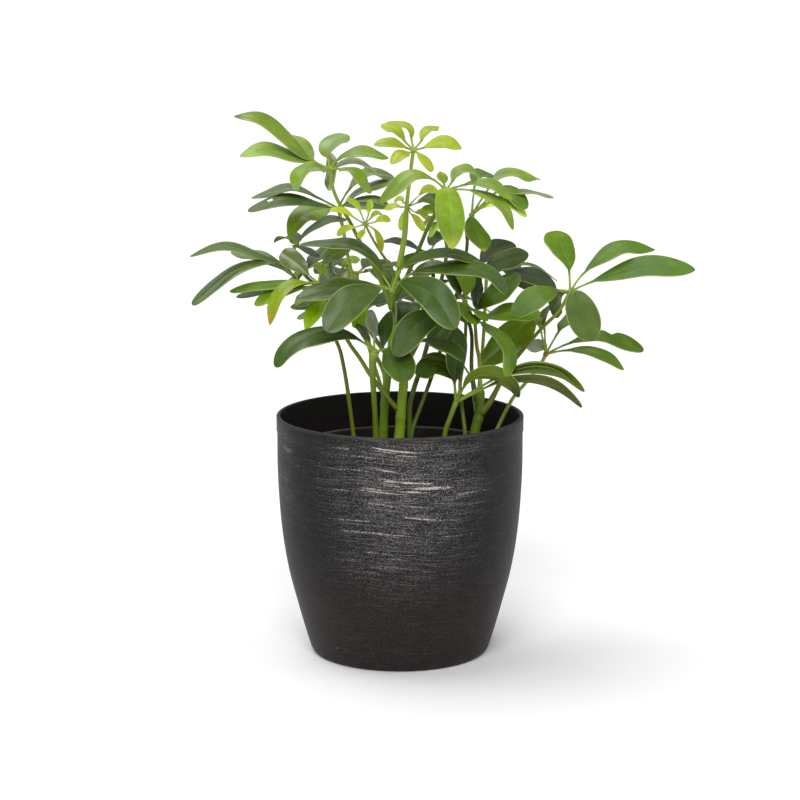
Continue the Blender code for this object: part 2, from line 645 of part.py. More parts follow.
def far_leaflet(knob, turn):
    out = Vector((math.cos(turn), math.sin(turn), 0))
    upright = Vector((0, 0, 1))
    knots = [knob]
    for reach, rise in FAR_ARCH:
        knots.append(knob + (out * reach + upright * rise) * FAR_LENGTH)
    return leaflet(knots, FAR_WIDTH, lambda tangent, point: upright.cross(tangent).normalized())


def leaf(name, stalk_points, root, leaflets, tone, rooms, thick=STALK_RADIUS):
    # one grown piece: its stalk, the knob at its end and the leaflets round that.
    # it stands in the soil, whose hole is returned, or is seated against a stem
    points = [place(*p) for p in stalk_points]
    standing = not isinstance(root, str)
    path = Path(footed(points, root) if standing else points)
    radii = [thick * STALK_TAPER * MM, thick * MM]
    made = tube(name, path, radii, STALK_ROWS, 1, material(name, TONES[tone], 0.4))
    bm = bmesh.new()
    bmesh.ops.create_icosphere(bm, subdivisions=1, radius=KNOB * thick * MM)
    bmesh.ops.translate(bm, verts=bm.verts, vec=points[0])
    joined(made, [link("knob", bm), *leaflets])
    if standing:
        return room_round(name, path, radii, STALK_ROWS, 1)
    boolean(made, "DIFFERENCE", rooms[root], solver="MANIFOLD")


def build():
    clear_scene()
    cover_pot()
    nursery_pot()
    bark = material("stem green", (0.16, 0.27, 0.05), 0.5)
    rods = []
    rooms = {}
    for name, plan in STEMS.items():
        rooms[name] = stem(name, plan, bark)
        rods.append(rooms[name])
    for name, plan in LEAVES.items():
        stalk, tone = plan["stalk"], plan["tone"]
        leaflets = [drawn_leaflet(p, stalk[0], plan["width"]) for p in plan["leaflets"]]
        thick = plan.get("thick", STALK_RADIUS)
        rods.append(leaf(name, stalk, plan["root"], leaflets, tone, rooms, thick))
    for name, plan in FAR_LEAVES.items():
        knob = place(*plan["stalk"][0])
        turns = [math.radians(plan["turn"]) + math.tau * k / plan["count"] for k in range(plan["count"])]
        leaflets = [far_leaflet(knob, turn) for turn in turns]
        rods.append(leaf(name, plan["stalk"], plan["foot"], leaflets, "dark", rooms))
    soil([rod for rod in rods if rod])


build()
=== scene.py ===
# Potted dwarf umbrella tree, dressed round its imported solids
import bisect
import math
import random

import bmesh
import bpy
from mathutils import Matrix, Vector, kdtree, noise


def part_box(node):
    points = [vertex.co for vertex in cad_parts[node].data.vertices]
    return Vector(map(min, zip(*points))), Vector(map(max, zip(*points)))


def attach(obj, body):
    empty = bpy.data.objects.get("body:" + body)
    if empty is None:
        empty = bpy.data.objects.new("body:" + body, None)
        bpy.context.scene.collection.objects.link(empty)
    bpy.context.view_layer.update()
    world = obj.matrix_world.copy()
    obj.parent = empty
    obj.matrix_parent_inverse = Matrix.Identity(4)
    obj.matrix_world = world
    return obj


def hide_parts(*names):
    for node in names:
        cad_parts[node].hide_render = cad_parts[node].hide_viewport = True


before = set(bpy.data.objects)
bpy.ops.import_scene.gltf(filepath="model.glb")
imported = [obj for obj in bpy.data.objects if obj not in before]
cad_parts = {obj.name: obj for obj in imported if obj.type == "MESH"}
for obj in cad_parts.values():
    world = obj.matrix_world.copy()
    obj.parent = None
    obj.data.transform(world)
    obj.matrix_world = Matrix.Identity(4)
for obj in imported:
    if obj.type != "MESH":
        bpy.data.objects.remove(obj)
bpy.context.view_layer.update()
mm = 0.001
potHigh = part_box("cover_pot")[1]
potHeight = potHigh.z
potRadius = potHigh.x

# the lens, and the front elevation that the plant is drawn on: its zero is the middle of the pot's rim,
# across and up are in mm as the lens sees them, and back is mm behind the pot's axis
view = dict(
    distance=1411,  # mm from the lens to the pot's axis
    aboveRim=277.4,
    pitch=10.8,  # degrees down
    lens=108,  # mm
    sight=100,  # m
    drawing=1440,  # mm from the lens to the drawing
    rimBelowSight=8.1,
)
pitch = math.radians(view["pitch"])
eye = Vector((0, -view["distance"] * mm, potHeight + view["aboveRim"] * mm))
ahead = Vector((0, math.cos(pitch), -math.sin(pitch)))
upward = Vector((0, math.sin(pitch), math.cos(pitch)))


def place(across, up, back):
    ray = Vector((across * mm, 0, 0)) + upward * (up - view["rimBelowSight"]) * mm
    ray += ahead * view["drawing"] * mm
    return eye + ray * ((back * mm + view["distance"] * mm) / ray.y)


def link(thing):
    # into the scene
    bpy.context.scene.collection.objects.link(thing)
    return thing


def setCamera():
    lens = bpy.data.cameras.new("lens")
    lens.lens = view["lens"]
    lens.clip_end = view["sight"]
    camera = link(bpy.data.objects.new("camera", lens))
    camera.location = eye
    camera.rotation_euler = (math.pi / 2 - pitch, 0, 0)
    bpy.context.scene.camera = camera


def linear(red, green, blue):
    # a colour as picked from a screen, 0 to 255, for the shader
    def one(value):
        value /= 255
        return value / 12.92 if value <= 0.04045 else ((value + 0.055) / 1.055) ** 2.4
    return one(red), one(green), one(blue)


class Wire:
    # a node's output that takes part in sums
    def __init__(self, recipe, socket):
        self.recipe = recipe
        self.socket = socket

    def __add__(self, other):
        return self.recipe.maths("ADD", self, other)

    def __radd__(self, other):
        return self.recipe.maths("ADD", other, self)

    def __sub__(self, other):
        return self.recipe.maths("SUBTRACT", self, other)

    def __rsub__(self, other):
        return self.recipe.maths("SUBTRACT", other, self)

    def __mul__(self, other):
        return self.recipe.maths("MULTIPLY", self, other)

    def __rmul__(self, other):
        return self.recipe.maths("MULTIPLY", other, self)

    def __truediv__(self, other):
        return self.recipe.maths("DIVIDE", self, other)

    def __rtruediv__(self, other):
        return self.recipe.maths("DIVIDE", other, self)

    def __abs__(self):
        return self.recipe.maths("ABSOLUTE", self)


class Recipe:
    # one material's nodes; the values given here are the same all over and go on the shader itself
    def __init__(self, name, **fixed):
        self.material = bpy.data.materials.new(name)
        self.material.use_nodes = True
        self.tree = self.material.node_tree
        self.shader = self.tree.nodes["Principled BSDF"]
        for socket, value in fixed.items():
            self.shader.inputs[socket.replace("_", " ")].default_value = value

    def add(self, kind, settings=None, values=None, out=0):
        node = self.tree.nodes.new(kind)
        for key, value in (settings or {}).items():
            setattr(node, key, value)
        for key, value in (values or {}).items():
            self.feed(node.inputs[key], value)
        return Wire(self, node.outputs[out])

    def feed(self, socket, value):
        if isinstance(value, Wire):
            self.tree.links.new(value.socket, socket)
        elif socket.type == "RGBA":
            socket.default_value = (*value, 1)
        else:
            socket.default_value = value

    def mark(self, name, out="Fac"):
        # a number, or with out="Color" a colour, that the mesh carries
        return self.add("ShaderNodeAttribute", dict(attribute_name=name), out=out)

    def spot(self):
        return self.add("ShaderNodeTexCoord", out="Object")

    def maths(self, operation, *values):
        return self.add("ShaderNodeMath", dict(operation=operation), dict(enumerate(values)))

    def vectors(self, operation, first, second, out="Vector"):
        return self.add("ShaderNodeVectorMath", dict(operation=operation), {0: first, 1: second}, out)

    def part(self, vector, axis):
        return self.add("ShaderNodeSeparateXYZ", None, {0: vector}, axis)

    def stretched(self, vector, by):
        return self.vectors("MULTIPLY", vector, by)

    def cloud(self, vector, scale, detail=2.0, roughness=0.5):
        return self.add("ShaderNodeTexNoise", None,
                        {"Vector": vector, "Scale": scale, "Detail": detail, "Roughness": roughness})

    def step(self, value, low, high):
        # 0 below low, 1 above high, smooth between
        return self.add("ShaderNodeMapRange", dict(interpolation_type="SMOOTHSTEP"),
                        {"Value": value, "From Min": low, "From Max": high})

    def blend(self, share, first, second, how="MIX"):
        return self.add("ShaderNodeMix", dict(data_type="RGBA", blend_type=how, clamp_factor=True),
                        {0: share, 6: first, 7: second}, out=2)

    def bump(self, height, distance, strength):
        return self.add("ShaderNodeBump", None,
                        {"Height": height, "Distance": distance, "Strength": strength})

    def paint(self, **wires):
        for socket, wire in wires.items():
            self.feed(self.shader.inputs[socket.replace("_", " ")], wire)
        return self.material


leafPaint = dict(
    veins=8,  # side veins along a blade
    veinSlant=2.2,
    roughness=0.42,
    underRoughness=0.58,
    mottle=150.0,  # a higher number is a finer pattern, here and below
    patch=38.0,
    freckle=700.0,
    rim=(172, 188, 92),
    under=(108, 114, 44),
    underRib=(150, 160, 72),
)


def leafMaterial():
    made = Recipe("leaf skin", Coat_Roughness=0.24, Specular_IOR_Level=0.26)
    tone = made.mark("tone", "Color")
    along = made.mark("along")
    side = abs(made.mark("side"))
    under = made.mark("under")
    shine = made.mark("shine") * (1 - under)
    turn = made.mark("half")
    spot = made.spot()
    mottle = made.cloud(spot, leafPaint["mottle"], 4.0, 0.6)
    patch = made.cloud(spot, leafPaint["patch"])
    freckle = made.step(made.cloud(spot, leafPaint["freckle"], 2.0, 0.6), 0.62, 0.74)
    # side veins leave the midrib slanting towards the tip, by turns left and right
    count = along * leafPaint["veins"] - side * leafPaint["veinSlant"] + turn * 0.5 + mottle * 0.5
    saw = made.maths("PINGPONG", count, 0.5)
    vein = (1 - made.step(saw, 0.0, 0.16)) * (1 - made.step(side, 0.5, 0.9))
    vein = vein * made.step(side, 0.02, 0.1)
    rib = (1 - made.step(side, 0.0, 0.09)) * (1 - made.step(along, 0.55, 0.95))
    margin = made.step(side, 0.925, 0.975)
    base = 1 - made.step(along, 0.0, 0.12)
    pale = made.blend(0.7, tone, linear(*leafPaint["rim"]))
    shade = made.blend(made.step(patch, 0.3, 0.72) * 0.85, tone, (0.58, 0.64, 0.5), "MULTIPLY")
    colour = made.blend(made.step(mottle, 0.42, 0.72) * 0.8, shade, (1.46, 1.32, 1.2), "MULTIPLY")
    colour = made.blend(freckle * 0.12 + rib * 0.12 + vein * 0.04, colour, pale)
    colour = made.blend(made.maths("MAXIMUM", margin * 0.85, base * 0.6), colour, pale)
    below = made.blend(0.45, tone, linear(*leafPaint["under"]))
    below = made.blend(rib * 0.45 + vein * 0.15, below, linear(*leafPaint["underRib"]))
    below = made.blend(mottle * 0.4, below, (0.72, 0.7, 0.62), "MULTIPLY")
    colour = made.blend(under, colour, below)
    rough = (leafPaint["roughness"] + mottle * 0.14 - shine * 0.12
             + under * (leafPaint["underRoughness"] - leafPaint["roughness"]))
    wax = shine * (0.35 + made.step(patch, 0.35, 0.65) * 0.5)
    height = patch * 0.8 + mottle * 0.3 - rib * 0.7 - vein * 0.3
    return made.paint(Base_Color=colour, Roughness=rough, Coat_Weight=wax,
                      Normal=made.bump(height, 0.4 * mm, 0.55))


stalkSkin = dict(
    roughness=0.42,
    fibre=(900, 900, 60),  # fine round a stalk, long up it
    freckle=420.0,
    freckled=(110, 96, 52),
)


def stalkMaterial():
    made = Recipe("stalk skin", Specular_IOR_Level=0.4)
    tone = made.mark("tone", "Color")
    spot = made.spot()
    fibre = made.cloud(made.stretched(spot, stalkSkin["fibre"]), 1.0)
    freckle = made.step(made.cloud(spot, stalkSkin["freckle"]), 0.62, 0.75)
    colour = made.blend(fibre * 0.45, tone, (0.62, 0.66, 0.5), "MULTIPLY")
    colour = made.blend(freckle * 0.3, colour, linear(*stalkSkin["freckled"]))
    return made.paint(Base_Color=colour, Roughness=stalkSkin["roughness"] + fibre * 0.12,
                      Normal=made.bump(fibre, 0.12 * mm, 0.5))


potPaint = dict(
    charcoal=(15, 14, 14),
    brown=(31, 23, 21),
    silver=(200, 195, 193),
    rim=(66, 62, 60),
    nick=(190, 188, 184),
    dustAndSheen=(1, -74, 120),  # mm, the middle of the most silvery patch, high on the front of the pot: a painted highlight
    sheenReach=66,
    sheenTall=1.4,  # times taller than wide
    slant=0.035,
    sway=10,  # mm that the strokes wander up and down
    lines=(44, 44, 1050),  # how fine each kind of stroke is to the side, to the back and up
    hairs=(80, 80, 1900),
    strokes=(20, 20, 560),
    grain=1500.0,
    nicks=55.0,
    inside=(34, 31, 32),
    haze=(46, 42, 43),
    scuff=(86, 80, 78),
)


def potMaterial():
    # charcoal, with silver brushed on in thin level strokes and a fine grain; the strokes crowd into a
    # patch high on the front, a painted highlight, and thicken towards the top, partly the paint's own
    # and partly painted highlight
    made = Recipe("pot charcoal", Specular_IOR_Level=0.16)
    spot = made.spot()
    height = made.part(spot, "Z") / potHeight
    sway = made.cloud(made.stretched(spot, (13, 13, 5)), 1.0, 1.0)
    rise = (sway - 0.5) * potPaint["sway"] * mm + made.part(spot, "X") * potPaint["slant"]
    bent = made.add("ShaderNodeCombineXYZ", None, {"Z": rise})
    level = made.vectors("ADD", spot, bent)
    line = made.cloud(made.stretched(level, potPaint["lines"]), 1.0, 3.0, 0.7)
    hair = made.cloud(made.stretched(level, potPaint["hairs"]), 1.0, 2.0, 0.65)
    stroke = made.cloud(made.stretched(level, potPaint["strokes"]), 1.0, 3.0, 0.7)
    patch = made.cloud(made.stretched(spot, (20, 20, 30)), 1.0, 3.0)
    grain = made.cloud(spot, potPaint["grain"], 2.0, 0.7)
    # a patch high on the front of the pot where the silver is laid thick: a painted highlight
    across, depth, up = (value * mm for value in potPaint["dustAndSheen"])
    squat = made.stretched(spot, (1, 1, 1 / potPaint["sheenTall"]))
    away = made.vectors("DISTANCE", squat, (across, depth, up / potPaint["sheenTall"]), "Value")
    dustAndSheen = 1 - made.step(away, 0.0, potPaint["sheenReach"] * mm)
    # the silver strokes are laid thicker over the upper part: partly the paint's own, partly painted
    # highlight
    upper = made.step(height, 0.25, 0.7)
    calm = 1 - made.step(height, 0.962, 0.975) * 0.45
    # how thick the silver lies: a painted highlight, crowded into the front patch and, in patches, into
    # the upper part
    sheenDensity = (dustAndSheen * 0.95 + made.step(patch, 0.5, 0.75) * upper * 0.25) * calm
    strokes = made.step(stroke + sheenDensity * 0.05, 0.61, 0.69) * made.step(grain + sheenDensity * 0.12, 0.45, 0.7)
    cover = (made.step(line, 0.5, 0.76) * (0.016 + sheenDensity * 0.25)
             + made.step(hair, 0.48, 0.76) * (0.022 + sheenDensity * 0.17)
             + made.step(grain, 0.5, 0.72) * (0.05 + sheenDensity * 0.44)
             + strokes * (0.03 + upper * 0.1 + sheenDensity * upper * 1.15) * calm)
    charcoal = made.blend(made.step(height, 0.1, 0.6),
                          linear(*potPaint["brown"]), linear(*potPaint["charcoal"]))
    colour = made.blend(cover, charcoal, linear(*potPaint["silver"]))
    # a few pale nicks
    nicks = {"Vector": made.stretched(spot, (1, 1, 0.8)), "Scale": potPaint["nicks"]}
    speck = made.add("ShaderNodeTexVoronoi", None, nicks, "Distance")
    pick = made.add("ShaderNodeTexVoronoi", None, nicks, "Color")
    lucky = made.step(made.add("ShaderNodeSeparateColor", None, {0: pick}), 0.9, 0.92)
    nick = (1 - made.step(speck, 0.018, 0.034)) * lucky * 0.85
    colour = made.blend(nick, colour, linear(*potPaint["nick"]))
    lip = made.step(height, 0.985, 0.997)
    colour = made.blend(lip * (0.3 + grain * 0.5), colour, linear(*potPaint["rim"]))
    relief = grain * 0.6 + line * 0.5 + hair * 0.25
    return made.paint(Base_Color=colour, Roughness=0.46 + grain * 0.14,
                      Normal=made.bump(relief, 0.25 * mm, 0.6))


def potInsideMaterial():
    made = Recipe("pot inside", Specular_IOR_Level=0.32)
    spot = made.spot()
    haze = made.cloud(spot, 24.0, 3.0)
    scuff = made.step(made.cloud(made.stretched(spot, (40, 40, 380)), 1.0, 3.0), 0.62, 0.8)
    colour = made.blend(haze * 0.5, linear(*potPaint["inside"]), linear(*potPaint["haze"]))
    colour = made.blend(scuff * 0.15, colour, linear(*potPaint["scuff"]))
    return made.paint(Base_Color=colour, Roughness=0.42 + haze * 0.2,
                      Normal=made.bump(haze, 0.3 * mm, 0.3))


# rim is the paler colour along the rolled rim: partly dust, partly a painted highlight
linerPaint = dict(black=(26, 23, 23), dustAndSheen=(44, 38, 36), grimy=(42, 32, 26), rim=(118, 106, 104))


def linerMaterial():
    # thin black plastic, dusty with soil, and paler along the top of its rolled rim, partly dust and
    # partly a painted highlight
    made = Recipe("nursery plastic", Specular_IOR_Level=0.5)
    spot = made.spot()
    dust = made.cloud(spot, 60.0, 4.0, 0.6)
    grime = made.step(made.cloud(spot, 260.0, 3.0), 0.5, 0.75)
    # the top of the rolled rim is painted paler: partly dust, partly a painted highlight
    rim = made.step(made.part(spot, "Z"), linerHigh.z - 0.5 * mm, linerHigh.z)
    colour = made.blend(dust * 0.7, linear(*linerPaint["black"]), linear(*linerPaint["dustAndSheen"]))
    colour = made.blend(grime * 0.35, colour, linear(*linerPaint["grimy"]))
    colour = made.blend(rim * 0.55, colour, linear(*linerPaint["rim"]))
    return made.paint(Base_Color=colour, Roughness=0.3 + dust * 0.25,
                      Normal=made.bump(dust, 0.2 * mm, 0.3))


def soilMaterial():
    made = Recipe("potting mix", Specular_IOR_Level=0.2)
    tone = made.mark("tone", "Color")
    spot = made.spot()
    crumb = made.cloud(spot, 700.0, 4.0, 0.7)
    damp = made.cloud(spot, 45.0)
    colour = made.blend(crumb * 0.8, tone, (0.45, 0.42, 0.4), "MULTIPLY")
    colour = made.blend(damp * 0.5, colour, (0.55, 0.5, 0.48), "MULTIPLY")
    return made.paint(Base_Color=colour, Roughness=0.8 + crumb * 0.2,
                      Normal=made.bump(crumb, 0.8 * mm, 0.9))


def floorMaterial():
    made = Recipe("floor", Specular_IOR_Level=0.2)
    grain = made.cloud(made.spot(), 9.0, 3.0)
    colour = made.blend(grain, (0.93, 0.93, 0.93), (0.9, 0.9, 0.895))
    return made.paint(Base_Color=colour, Roughness=0.75 + grain * 0.1)


def finish(name, bm, *paints, smooth=True):
    mesh = bpy.data.meshes.new(name)
    bm.to_mesh(mesh)
    bm.free()
    if smooth:
        mesh.shade_smooth()
    piece = link(bpy.data.objects.new(name, mesh))
    for paint in paints:
        mesh.materials.append(paint)
    return piece


def declare(piece, slot, *nodes):
    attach(piece, "root")
    if nodes:
        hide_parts(*nodes)


class Path:
    # a smooth curve through its knots, read by its share of the length
    steps = 16
    nearby = 0.03

    def __init__(self, knots):
        knots = [Vector(knot) for knot in knots]
        ends = [2 * knots[0] - knots[1], *knots, 2 * knots[-1] - knots[-2]]
        self.points = [knots[0]]
        run = [0.0]
        marks = [0.0]
        for before, start, end, after in zip(ends, ends[1:], ends[2:], ends[3:]):
            for step in range(1, self.steps + 1):
                t = step / self.steps
                point = (start * 2 + (end - before) * t
                         + (before * 2 - start * 5 + end * 4 - after) * t ** 2
                         + (start * 3 - before - end * 3 + after) * t ** 3) / 2
                run.append(run[-1] + (point - self.points[-1]).length)
                self.points.append(point)
            marks.append(run[-1])
        self.length = run[-1]
        self.shares = [r / self.length for r in run]
        self.knotShares = [r / self.length for r in marks]

    def at(self, share):
        share = min(max(share, 0.0), 1.0)
        high = min(max(bisect.bisect_left(self.shares, share), 1), len(self.shares) - 1)
        low = high - 1
        part = (share - self.shares[low]) / (self.shares[high] - self.shares[low])
        return self.points[low].lerp(self.points[high], part)

    def tangent(self, share):
        return (self.at(share + self.nearby) - self.at(share - self.nearby)).normalized()


def applied(thing):
    # its mesh, with its modifiers or its bevel
    bpy.context.view_layer.update()
    return bpy.data.meshes.new_from_object(thing.evaluated_get(bpy.context.evaluated_depsgraph_get()))


def close(bm):
    bmesh.ops.remove_doubles(bm, verts=bm.verts, dist=1e-6)
    bmesh.ops.recalc_face_normals(bm, faces=bm.faces)


def rods(name, runs, sides):
    # round rods as one mesh; a run is a path, its rows, and its radius and tone at a share of its length
    curve = bpy.data.curves.new(name, "CURVE")
    curve.dimensions = "3D"
    curve.bevel_depth = 1
    curve.bevel_resolution = sides
    curve.use_fill_caps = True
    spots = kdtree.KDTree(sum(rows + 1 for path, rows, radius, tone in runs))
    colours = []
    for path, rows, radius, tone in runs:
        spline = curve.splines.new("POLY")
        spline.points.add(rows)
        for row, point in enumerate(spline.points):
            share = row / rows
            point.co = (*path.at(share), 1)
            point.radius = radius(share)
            spots.insert(path.at(share), len(colours))
            colours.append(tone(share))
    spots.balance()
    drawn = link(bpy.data.objects.new(name, curve))
    mesh = applied(drawn)
    bpy.data.objects.remove(drawn)
    bm = bmesh.new()
    bm.from_mesh(mesh)
    bpy.data.meshes.remove(mesh)
    close(bm)
    layer = bm.verts.layers.float_color.new("tone")
    for vert in bm.verts:
        vert[layer] = (*colours[spots.find(vert.co)[1]], 1)
    return bm


def turned(profile, steps):
    # an outline of (radius, height) turned round the pot's axis
    bm = bmesh.new()
    verts = [bm.verts.new((radius, 0, height)) for radius, height in profile]
    edges = [bm.edges.new(pair) for pair in zip(verts, verts[1:])]
    bmesh.ops.spin(bm, geom=verts + edges, cent=(0, 0, 0), axis=(0, 0, 1),
                   angle=math.tau, steps=steps, use_merge=True)
    close(bm)
    return bm


def rounded(corner, radius, start, end, steps=5):
    # a quarter of a circle round corner, in (radius, height), from one angle to another in degrees
    turns = [math.radians(start + (end - start) * step / steps) for step in range(steps + 1)]
    return [(corner[0] + radius * math.cos(turn), corner[1] + radius * math.sin(turn)) for turn in turns]


def flowing(points, steps):
    # a smooth line through (radius, height) points
    path = Path([(radius * mm, 0, height * mm) for radius, height in points])
    return [(point.x, point.z) for point in (path.at(step / steps) for step in range(steps + 1))]


coverPot = dict(
    wall=2.4, floor=3.0, lip=0.9, band=9, bandStep=0.35, bandSlope=0.7, steps=144, rows=34,
    # radius and height, under and round the foot, then up the outside
    foot=[(0, 1.2), (44, 1.2), (46, 0.48), (46.8, 0), (50, 0), (51.4, 0.3), (52.6, 1.0), (53.7, 2.2)],
    side=[(54.4, 3.6), (57, 12), (62, 30), (67.5, 52), (71.4, 78), (73.4, 108), (73.6, 134)],
    corner=[(51.5, 2.5), (50, 0.6), (48, 0), (0, 0)],  # inside, over the floor
    insideFrom=8,  # the height where the wall inside starts to follow the outside
    straight=8,  # mm of straight wall inside, below the rim
    wallFrom=2, wallTo=0.6,  # the inner finish begins over the foot and ends below the rim
    floorTo=10,  # and covers the floor below this height
)


def makeCoverPot(outsidePaint, insidePaint):
    wall, lip, floor = coverPot["wall"] * mm, coverPot["lip"] * mm, coverPot["floor"] * mm
    band, straight = coverPot["band"], coverPot["straight"] * mm
    low, high, level = coverPot["wallFrom"] * mm, coverPot["wallTo"] * mm, coverPot["floorTo"] * mm
    inner = potRadius - wall
    outside = flowing(coverPot["side"], coverPot["rows"])
    inside = [(radius - wall, height) for radius, height in reversed(outside)
              if height > coverPot["insideFrom"] * mm]
    profile = [
        *((radius * mm, height * mm) for radius, height in coverPot["foot"]), *outside,
        (potRadius - coverPot["bandStep"] * mm, potHeight - (band + coverPot["bandSlope"]) * mm),
        (potRadius, potHeight - band * mm),
        *rounded((potRadius - lip, potHeight - lip), lip, 0, 90),
        *rounded((inner + lip, potHeight - lip), lip, 90, 180),
        (inner, potHeight - straight), *inside,
        *((radius * mm, floor + height * mm) for radius, height in coverPot["corner"]),
    ]
    bm = turned(profile, coverPot["steps"])
    for face in bm.faces:
        middle = face.calc_center_median()
        outwards = Vector((middle.x, middle.y, 0)).dot(face.normal)
        onWall = low < middle.z < potHeight - high and outwards < 0
        onFloor = face.normal.z > 0.9 and middle.z < level
        face.material_index = 1 if onWall or onFloor else 0
    pot = finish("cover_pot_shell", bm, outsidePaint, insidePaint)
    declare(pot, "pot", "cover_pot")


linerLow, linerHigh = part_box("nursery_pot")
liner = dict(
    wall=1.0, rimRadius=64, radius=61, foot=42, roll=3, edge=0.45, bend=1.2, steps=112,
    ledge=[(1.3, 9), (0.9, 8), (0.4, 0)],  # mm inside the mouth, and below the rolled rim
    drains=5, drainRadius=4, drainRing=26, drainSteps=20,
)


def makeLiner(paint):
    wall, roll, low, top = liner["wall"] * mm, liner["roll"] * mm, linerLow.z, linerHigh.z
    foot, mouth, rim = liner["foot"] * mm, liner["radius"] * mm, liner["rimRadius"] * mm
    edge, bend = liner["edge"] * mm, liner["bend"] * mm
    profile = [
        (0, low), (foot - mm, low), (foot, low + mm),
        *((mouth - inset * mm, top - roll - below * mm) for inset, below in liner["ledge"]),
        (rim - edge, top - roll),
        *rounded((rim - edge, top - roll + edge), edge, -90, 0, 3),
        *rounded((rim - bend, top - bend), bend, 0, 90),
        *rounded((mouth - wall + bend, top - bend), bend, 90, 180),
        (foot - wall, low + wall + mm), (foot - wall - mm, low + wall), (0, low + wall),
    ]
    pot = finish("nursery_pot_shell", turned(profile, liner["steps"]), paint)
    drills = bmesh.new()
    radius, ring = liner["drainRadius"] * mm, liner["drainRing"] * mm
    for hole in range(liner["drains"]):
        turn = math.tau * hole / liner["drains"]
        drill = bmesh.ops.create_cone(drills, cap_ends=True, segments=liner["drainSteps"],
                                      radius1=radius, radius2=radius, depth=4 * wall)
        bmesh.ops.translate(drills, verts=drill["verts"],
                            vec=(ring * math.cos(turn), ring * math.sin(turn), low))
    drill = finish("drill", drills)
    cut = pot.modifiers.new("drains", "BOOLEAN")
    cut.operation = "DIFFERENCE"
    cut.object = drill
    pot.data = applied(pot)
    pot.modifiers.clear()
    bpy.data.objects.remove(drill)
    declare(pot, "liner", "nursery_pot")


soilLow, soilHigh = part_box("soil")
soilLook = dict(
    seed=7, top=117, flush=0.1, proud=0.6, steps=96, rings=30, sideSteps=6, shoulder=4,
    rough=1.1,
    heaves=[(60, 1.4), (190, 0.8), (520, 0.5)],  # how fine and how high, in mm
    edge=0.93,  # share of the radius past which it falls
    edgeFall=12,
    spread=0.95,
    dark=(44, 34, 27),
    # least and most of each, as shares of a bit's size or colour
    breadth=(0.55, 1), height=(0.5, 0.9), uneven=(0.8, 1.15), shade=(0.6, 1.25),
    bedded=0.15,
    # how many, least and most size in mm, colour and how flat
    crumb=(1500, 0.5, 1.5, (44, 34, 27), 1.0),
    clod=(300, 1.1, 2.4, (74, 54, 40), 0.9),
    bark=(90, 1.4, 3.4, (96, 66, 44), 0.35),
    perlite=(46, 0.7, 1.3, (186, 180, 168), 1.0),
)


def lump(bm, tone, middle, size, colour, draw, squash):
    made = bmesh.ops.create_icosphere(bm, subdivisions=1, radius=1)
    turn = Matrix.Rotation(draw.uniform(0, math.tau), 4, draw.choice("XYZ"))
    spin = Matrix.Rotation(draw.uniform(0, math.tau), 4, "Z")
    breadth, height = draw.uniform(*soilLook["breadth"]), squash * draw.uniform(*soilLook["height"])
    stretch = Matrix.Diagonal((1, breadth, height, 1))
    for vert in made["verts"]:
        vert.co *= draw.uniform(*soilLook["uneven"])
        vert[tone] = (*colour, 1)
    where = Matrix.Translation(middle) @ spin @ turn @ stretch @ Matrix.Scale(size, 4)
    bmesh.ops.transform(bm, verts=made["verts"], matrix=where)


def soilTop(x, y):
    # height of the crumbly surface
    spot = Vector((x, y, 0))
    heave = sum(noise.noise(spot * fine) * high for fine, high in soilLook["heaves"])
    return (soilLook["top"] + soilLook["proud"] + heave * soilLook["rough"]) * mm


def makeSoil(paint):
    draw = random.Random(soilLook["seed"])
    top, rings, sideSteps = soilLook["top"], soilLook["rings"], soilLook["sideSteps"]
    wide, foot, low = soilHigh.x, (liner["foot"] - 2) * mm, soilLow.z
    tall = soilHigh.z - soilLook["shoulder"] * mm - low
    side = [(foot + (wide - foot) * step / sideSteps, low + tall * step / sideSteps)
            for step in range(sideSteps + 1)]
    across = [(wide * (1 - ring / rings), top * mm) for ring in range(rings)]
    bm = turned([(0, low), *side, *across, (0, top * mm)], soilLook["steps"])
    tone = bm.verts.layers.float_color.new("tone")
    for vert in bm.verts:
        vert[tone] = (*linear(*soilLook["dark"]), 1)
        if vert.co.z > (top - soilLook["flush"]) * mm:
            past = max(math.hypot(vert.co.x, vert.co.y) / wide - soilLook["edge"], 0)
            vert.co.z = soilTop(vert.co.x, vert.co.y) - past * soilLook["edgeFall"] * mm
    for kind in ("crumb", "clod", "bark", "perlite"):
        count, least, most, colour, squash = soilLook[kind]
        for _ in range(count):
            reach, turn = wide * math.sqrt(draw.random()) * soilLook["spread"], draw.uniform(0, math.tau)
            x, y = reach * math.cos(turn), reach * math.sin(turn)
            size = draw.uniform(least, most) * mm
            glow = draw.uniform(*soilLook["shade"])
            lump(bm, tone, (x, y, soilTop(x, y) + size * soilLook["bedded"]), size,
                 [value * glow for value in linear(*colour)], draw, squash)
    mix = finish("soil_crumb", bm, paint, smooth=False)
    declare(mix, "soil", "soil")


bark = dict(
    rows=70, sides=5,
    dome=14,  # how soon the top end is full wide
    domeLeast=0.05,
    swell=0.28,  # mm at a joint
    swellReach=0.018,  # shares of the length
    ringReach=0.006,
    ringShare=0.35,
    ring=(128, 112, 56),
    bract=(150, 84, 52),
    bractRadius=1.5,
    bractRows=10,
)

